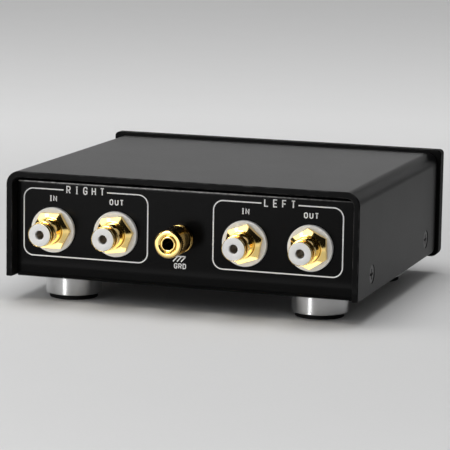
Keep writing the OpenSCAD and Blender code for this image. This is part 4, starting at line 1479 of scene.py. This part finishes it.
@dataclass
class Studio:
    """The camera, the floor, the lights and what the metal mirrors."""

    yaw: float = 18.163
    pitch: float = 9.342
    roll: float = 0.930
    focal_pixels: float = 2486.5
    photo_pixels: int = 450
    middle_drop_pixels: float = 0.4
    sensor: float = 36.0
    clip: tuple[float, float] = (0.01, 100.0)
    aside: float = 16.475 * MM
    above: float = 22.559 * MM
    away: float = 867.697 * MM
    aim_z: float = 20.0 * MM
    floor_size: float = 14.0
    floor_drop: float = 0.02 * MM
    floor_color: Color = (0.62, 0.62, 0.62)
    floor_rough: float = 0.8
    floor_gloss: float = 0.2
    floor_grain: float = 900.0
    floor_speckle: float = 0.03
    far_glow: tuple[float, ...] = (0.14, 0.55, 0.0, 0.22)
    mirrored_glow: tuple[float, ...] = (-0.03, 0.07, 0.28, 0.85)
    mirrored_from: tuple[float, float] = (0.11, 0.19)
    sky_aside: tuple[float, ...] = (-0.35, 0.0, 0.15, 1.42)
    sky_above: tuple[float, float] = (0.16, 0.28)
    sky_behind: tuple[float, float] = (-0.3, 0.2)
    sky_dim: float = 0.008
    sky_seen: float = 0.6
    sky_around: float = 0.25

    def build(self) -> None:
        """Makes the camera, the floor, the lamps and the world."""
        scene = bpy.context.scene
        scene.view_settings.view_transform = "Standard"
        scene.camera = self.camera()
        self.floor()
        top = self.lamp("top_softbox", (0.05, 0.10, 1.2), (0.9, 0.9), 11.4)
        fill = self.lamp("fill_softbox", (0.30, 0.90, 0.06), (0.6, 0.08), 0.8)
        key = self.lamp("key_softbox", (0.30, 0.64, 0.72), (0.7, 0.6), 3.0)
        self.lamp("side_softbox", (0.50, 0.29, 0.31), (0.5, 0.28), 1.0)
        strip = self.lamp("strip_light", (0.23, 0.655, 0.235), (0.12, 0.41), 2.8)
        top.visible_glossy = fill.visible_glossy = False
        key.visible_diffuse = strip.visible_diffuse = False
        self.card_light()
        self.world()

    def camera(self) -> bpy.types.Object:
        """Places the camera by its angles round the cover's rear rim."""
        yaw, pitch, roll = (math.radians(a) for a in (self.yaw, self.pitch, self.roll))
        ground = math.cos(pitch)
        back = Vector((-math.sin(yaw) * ground, math.cos(yaw) * ground, math.sin(pitch)))
        level = Vector((-math.cos(yaw), -math.sin(yaw), 0.0))
        upright = back.cross(level)
        right = level * math.cos(roll) + upright * math.sin(roll)
        up = upright * math.cos(roll) - level * math.sin(roll)
        lo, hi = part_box("top_cover")
        data = bpy.data.cameras.new("photo_camera")
        data.sensor_width = self.sensor
        data.lens = self.sensor * self.focal_pixels / self.photo_pixels
        data.shift_y = -self.middle_drop_pixels / self.photo_pixels
        data.clip_start, data.clip_end = self.clip
        camera = bpy.data.objects.new("photo_camera", data)
        place = Vector((0.0, hi.y, lo.z)) + right * self.aside + up * self.above + back * self.away
        turn = Matrix((right, up, back)).transposed().to_4x4()
        camera.matrix_world = Matrix.Translation(place) @ turn
        bpy.context.scene.collection.objects.link(camera)
        return camera

    def floor(self) -> None:
        """Lays the pale floor."""
        half = self.floor_size / 2
        shape = Shape()
        corners = ((-half, -half, 0), (half, -half, 0), (half, half, 0), (-half, half, 0))
        shape.cap(shape.ring(corners))
        floor = shape.piece("floor", Matrix.Translation((0, 0, -self.floor_drop)))
        material = bpy.data.materials.new("floor_paper")
        material.use_nodes = True
        desk = Desk(material.node_tree)
        given = {"Scale": self.floor_grain, "Speckle": self.floor_speckle}
        grain = desk.effect(Effect.GRAIN, given | {"Color": opaque(self.floor_color)})
        x, y, _ = desk.split(desk.place())
        rays = desk.node("LightPath").outputs
        far = desk.times(desk.fit(desk.length(desk.place()), *self.far_glow), rays["Is Camera Ray"])
        near = desk.times(desk.fit(x, *self.mirrored_glow), rays["Is Glossy Ray"])
        near = desk.times(near, desk.fit(y, *self.mirrored_from))
        desk.feed(
            material.node_tree.nodes["Principled BSDF"],
            {
                "Base Color": grain["Color"],
                "Roughness": self.floor_rough,
                "Specular IOR Level": self.floor_gloss,
                "Emission Strength": desk.plus(far, near),
                "Emission Color": opaque(WHITE),
            },
        )
        floor.data.materials.append(material)

    def lamp(
        self, name: str, place: Sequence[float], size: tuple[float, float], power: float
    ) -> bpy.types.Object:
        """Hangs an area lamp that shines at the middle of the case.

        Args:
            name: The lamp's name.
            place: Where it hangs.
            size: Its width and height.
            power: Its power in watts.

        Returns:
            The lamp.
        """
        data = bpy.data.lights.new(name, "AREA")
        data.shape, data.size, data.size_y, data.energy = "RECTANGLE", *size, power
        lamp = bpy.data.objects.new(name, data)
        lamp.location = place
        aim = Vector((0, 0, self.aim_z)) - lamp.location
        lamp.rotation_euler = aim.to_track_quat("-Z", "Y").to_euler()
        bpy.context.scene.collection.objects.link(lamp)
        return lamp

    def card_light(self) -> None:
        """Hangs a thin glowing card face up before the sockets, which only their metal mirrors."""
        card = self.lamp("card_light", (0.0, 0.0583, 0.012), (0.13, 0.0075), 0.0049)
        card.rotation_euler = (math.pi, 0.0, 0.0)
        card.visible_diffuse = card.visible_camera = False

    def world(self) -> None:
        """Makes surroundings that are pale near the horizon and dim above it."""
        world = bpy.data.worlds.new("studio")
        world.use_nodes = True
        bpy.context.scene.world = world
        desk = Desk(world.node_tree)
        x, y, z = desk.split(desk.node("TexCoord").outputs["Generated"])
        level = desk.fit(z, *self.sky_above, desk.fit(x, *self.sky_aside), self.sky_dim)
        level = desk.fit(y, *self.sky_behind, level, self.sky_dim)
        rays = desk.node("LightPath").outputs
        level = desk.times(level, rays["Is Glossy Ray"])
        seen = desk.times(rays["Is Camera Ray"], self.sky_seen)
        around = desk.times(rays["Is Diffuse Ray"], self.sky_around)
        strength = desk.math("MAXIMUM", level, desk.math("MAXIMUM", seen, around))
        background = world.node_tree.nodes["Background"]
        desk.feed(background, {"Strength": strength, "Color": opaque(WHITE)})


def main() -> None:
    """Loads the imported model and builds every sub-assembly."""
    logging.basicConfig(level=logging.INFO, format="%(message)s")
    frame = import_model()
    Studio().build()
    CaseSkin().build()
    for corner in ("rear_right", "rear_left", "front_right", "front_left"):
        Foot(corner).build()
    Sockets().build()
    GroundPost().build()
    RearPrint().build()
    PackedNodes(frame).build()


if __name__ == "__main__":
    main()
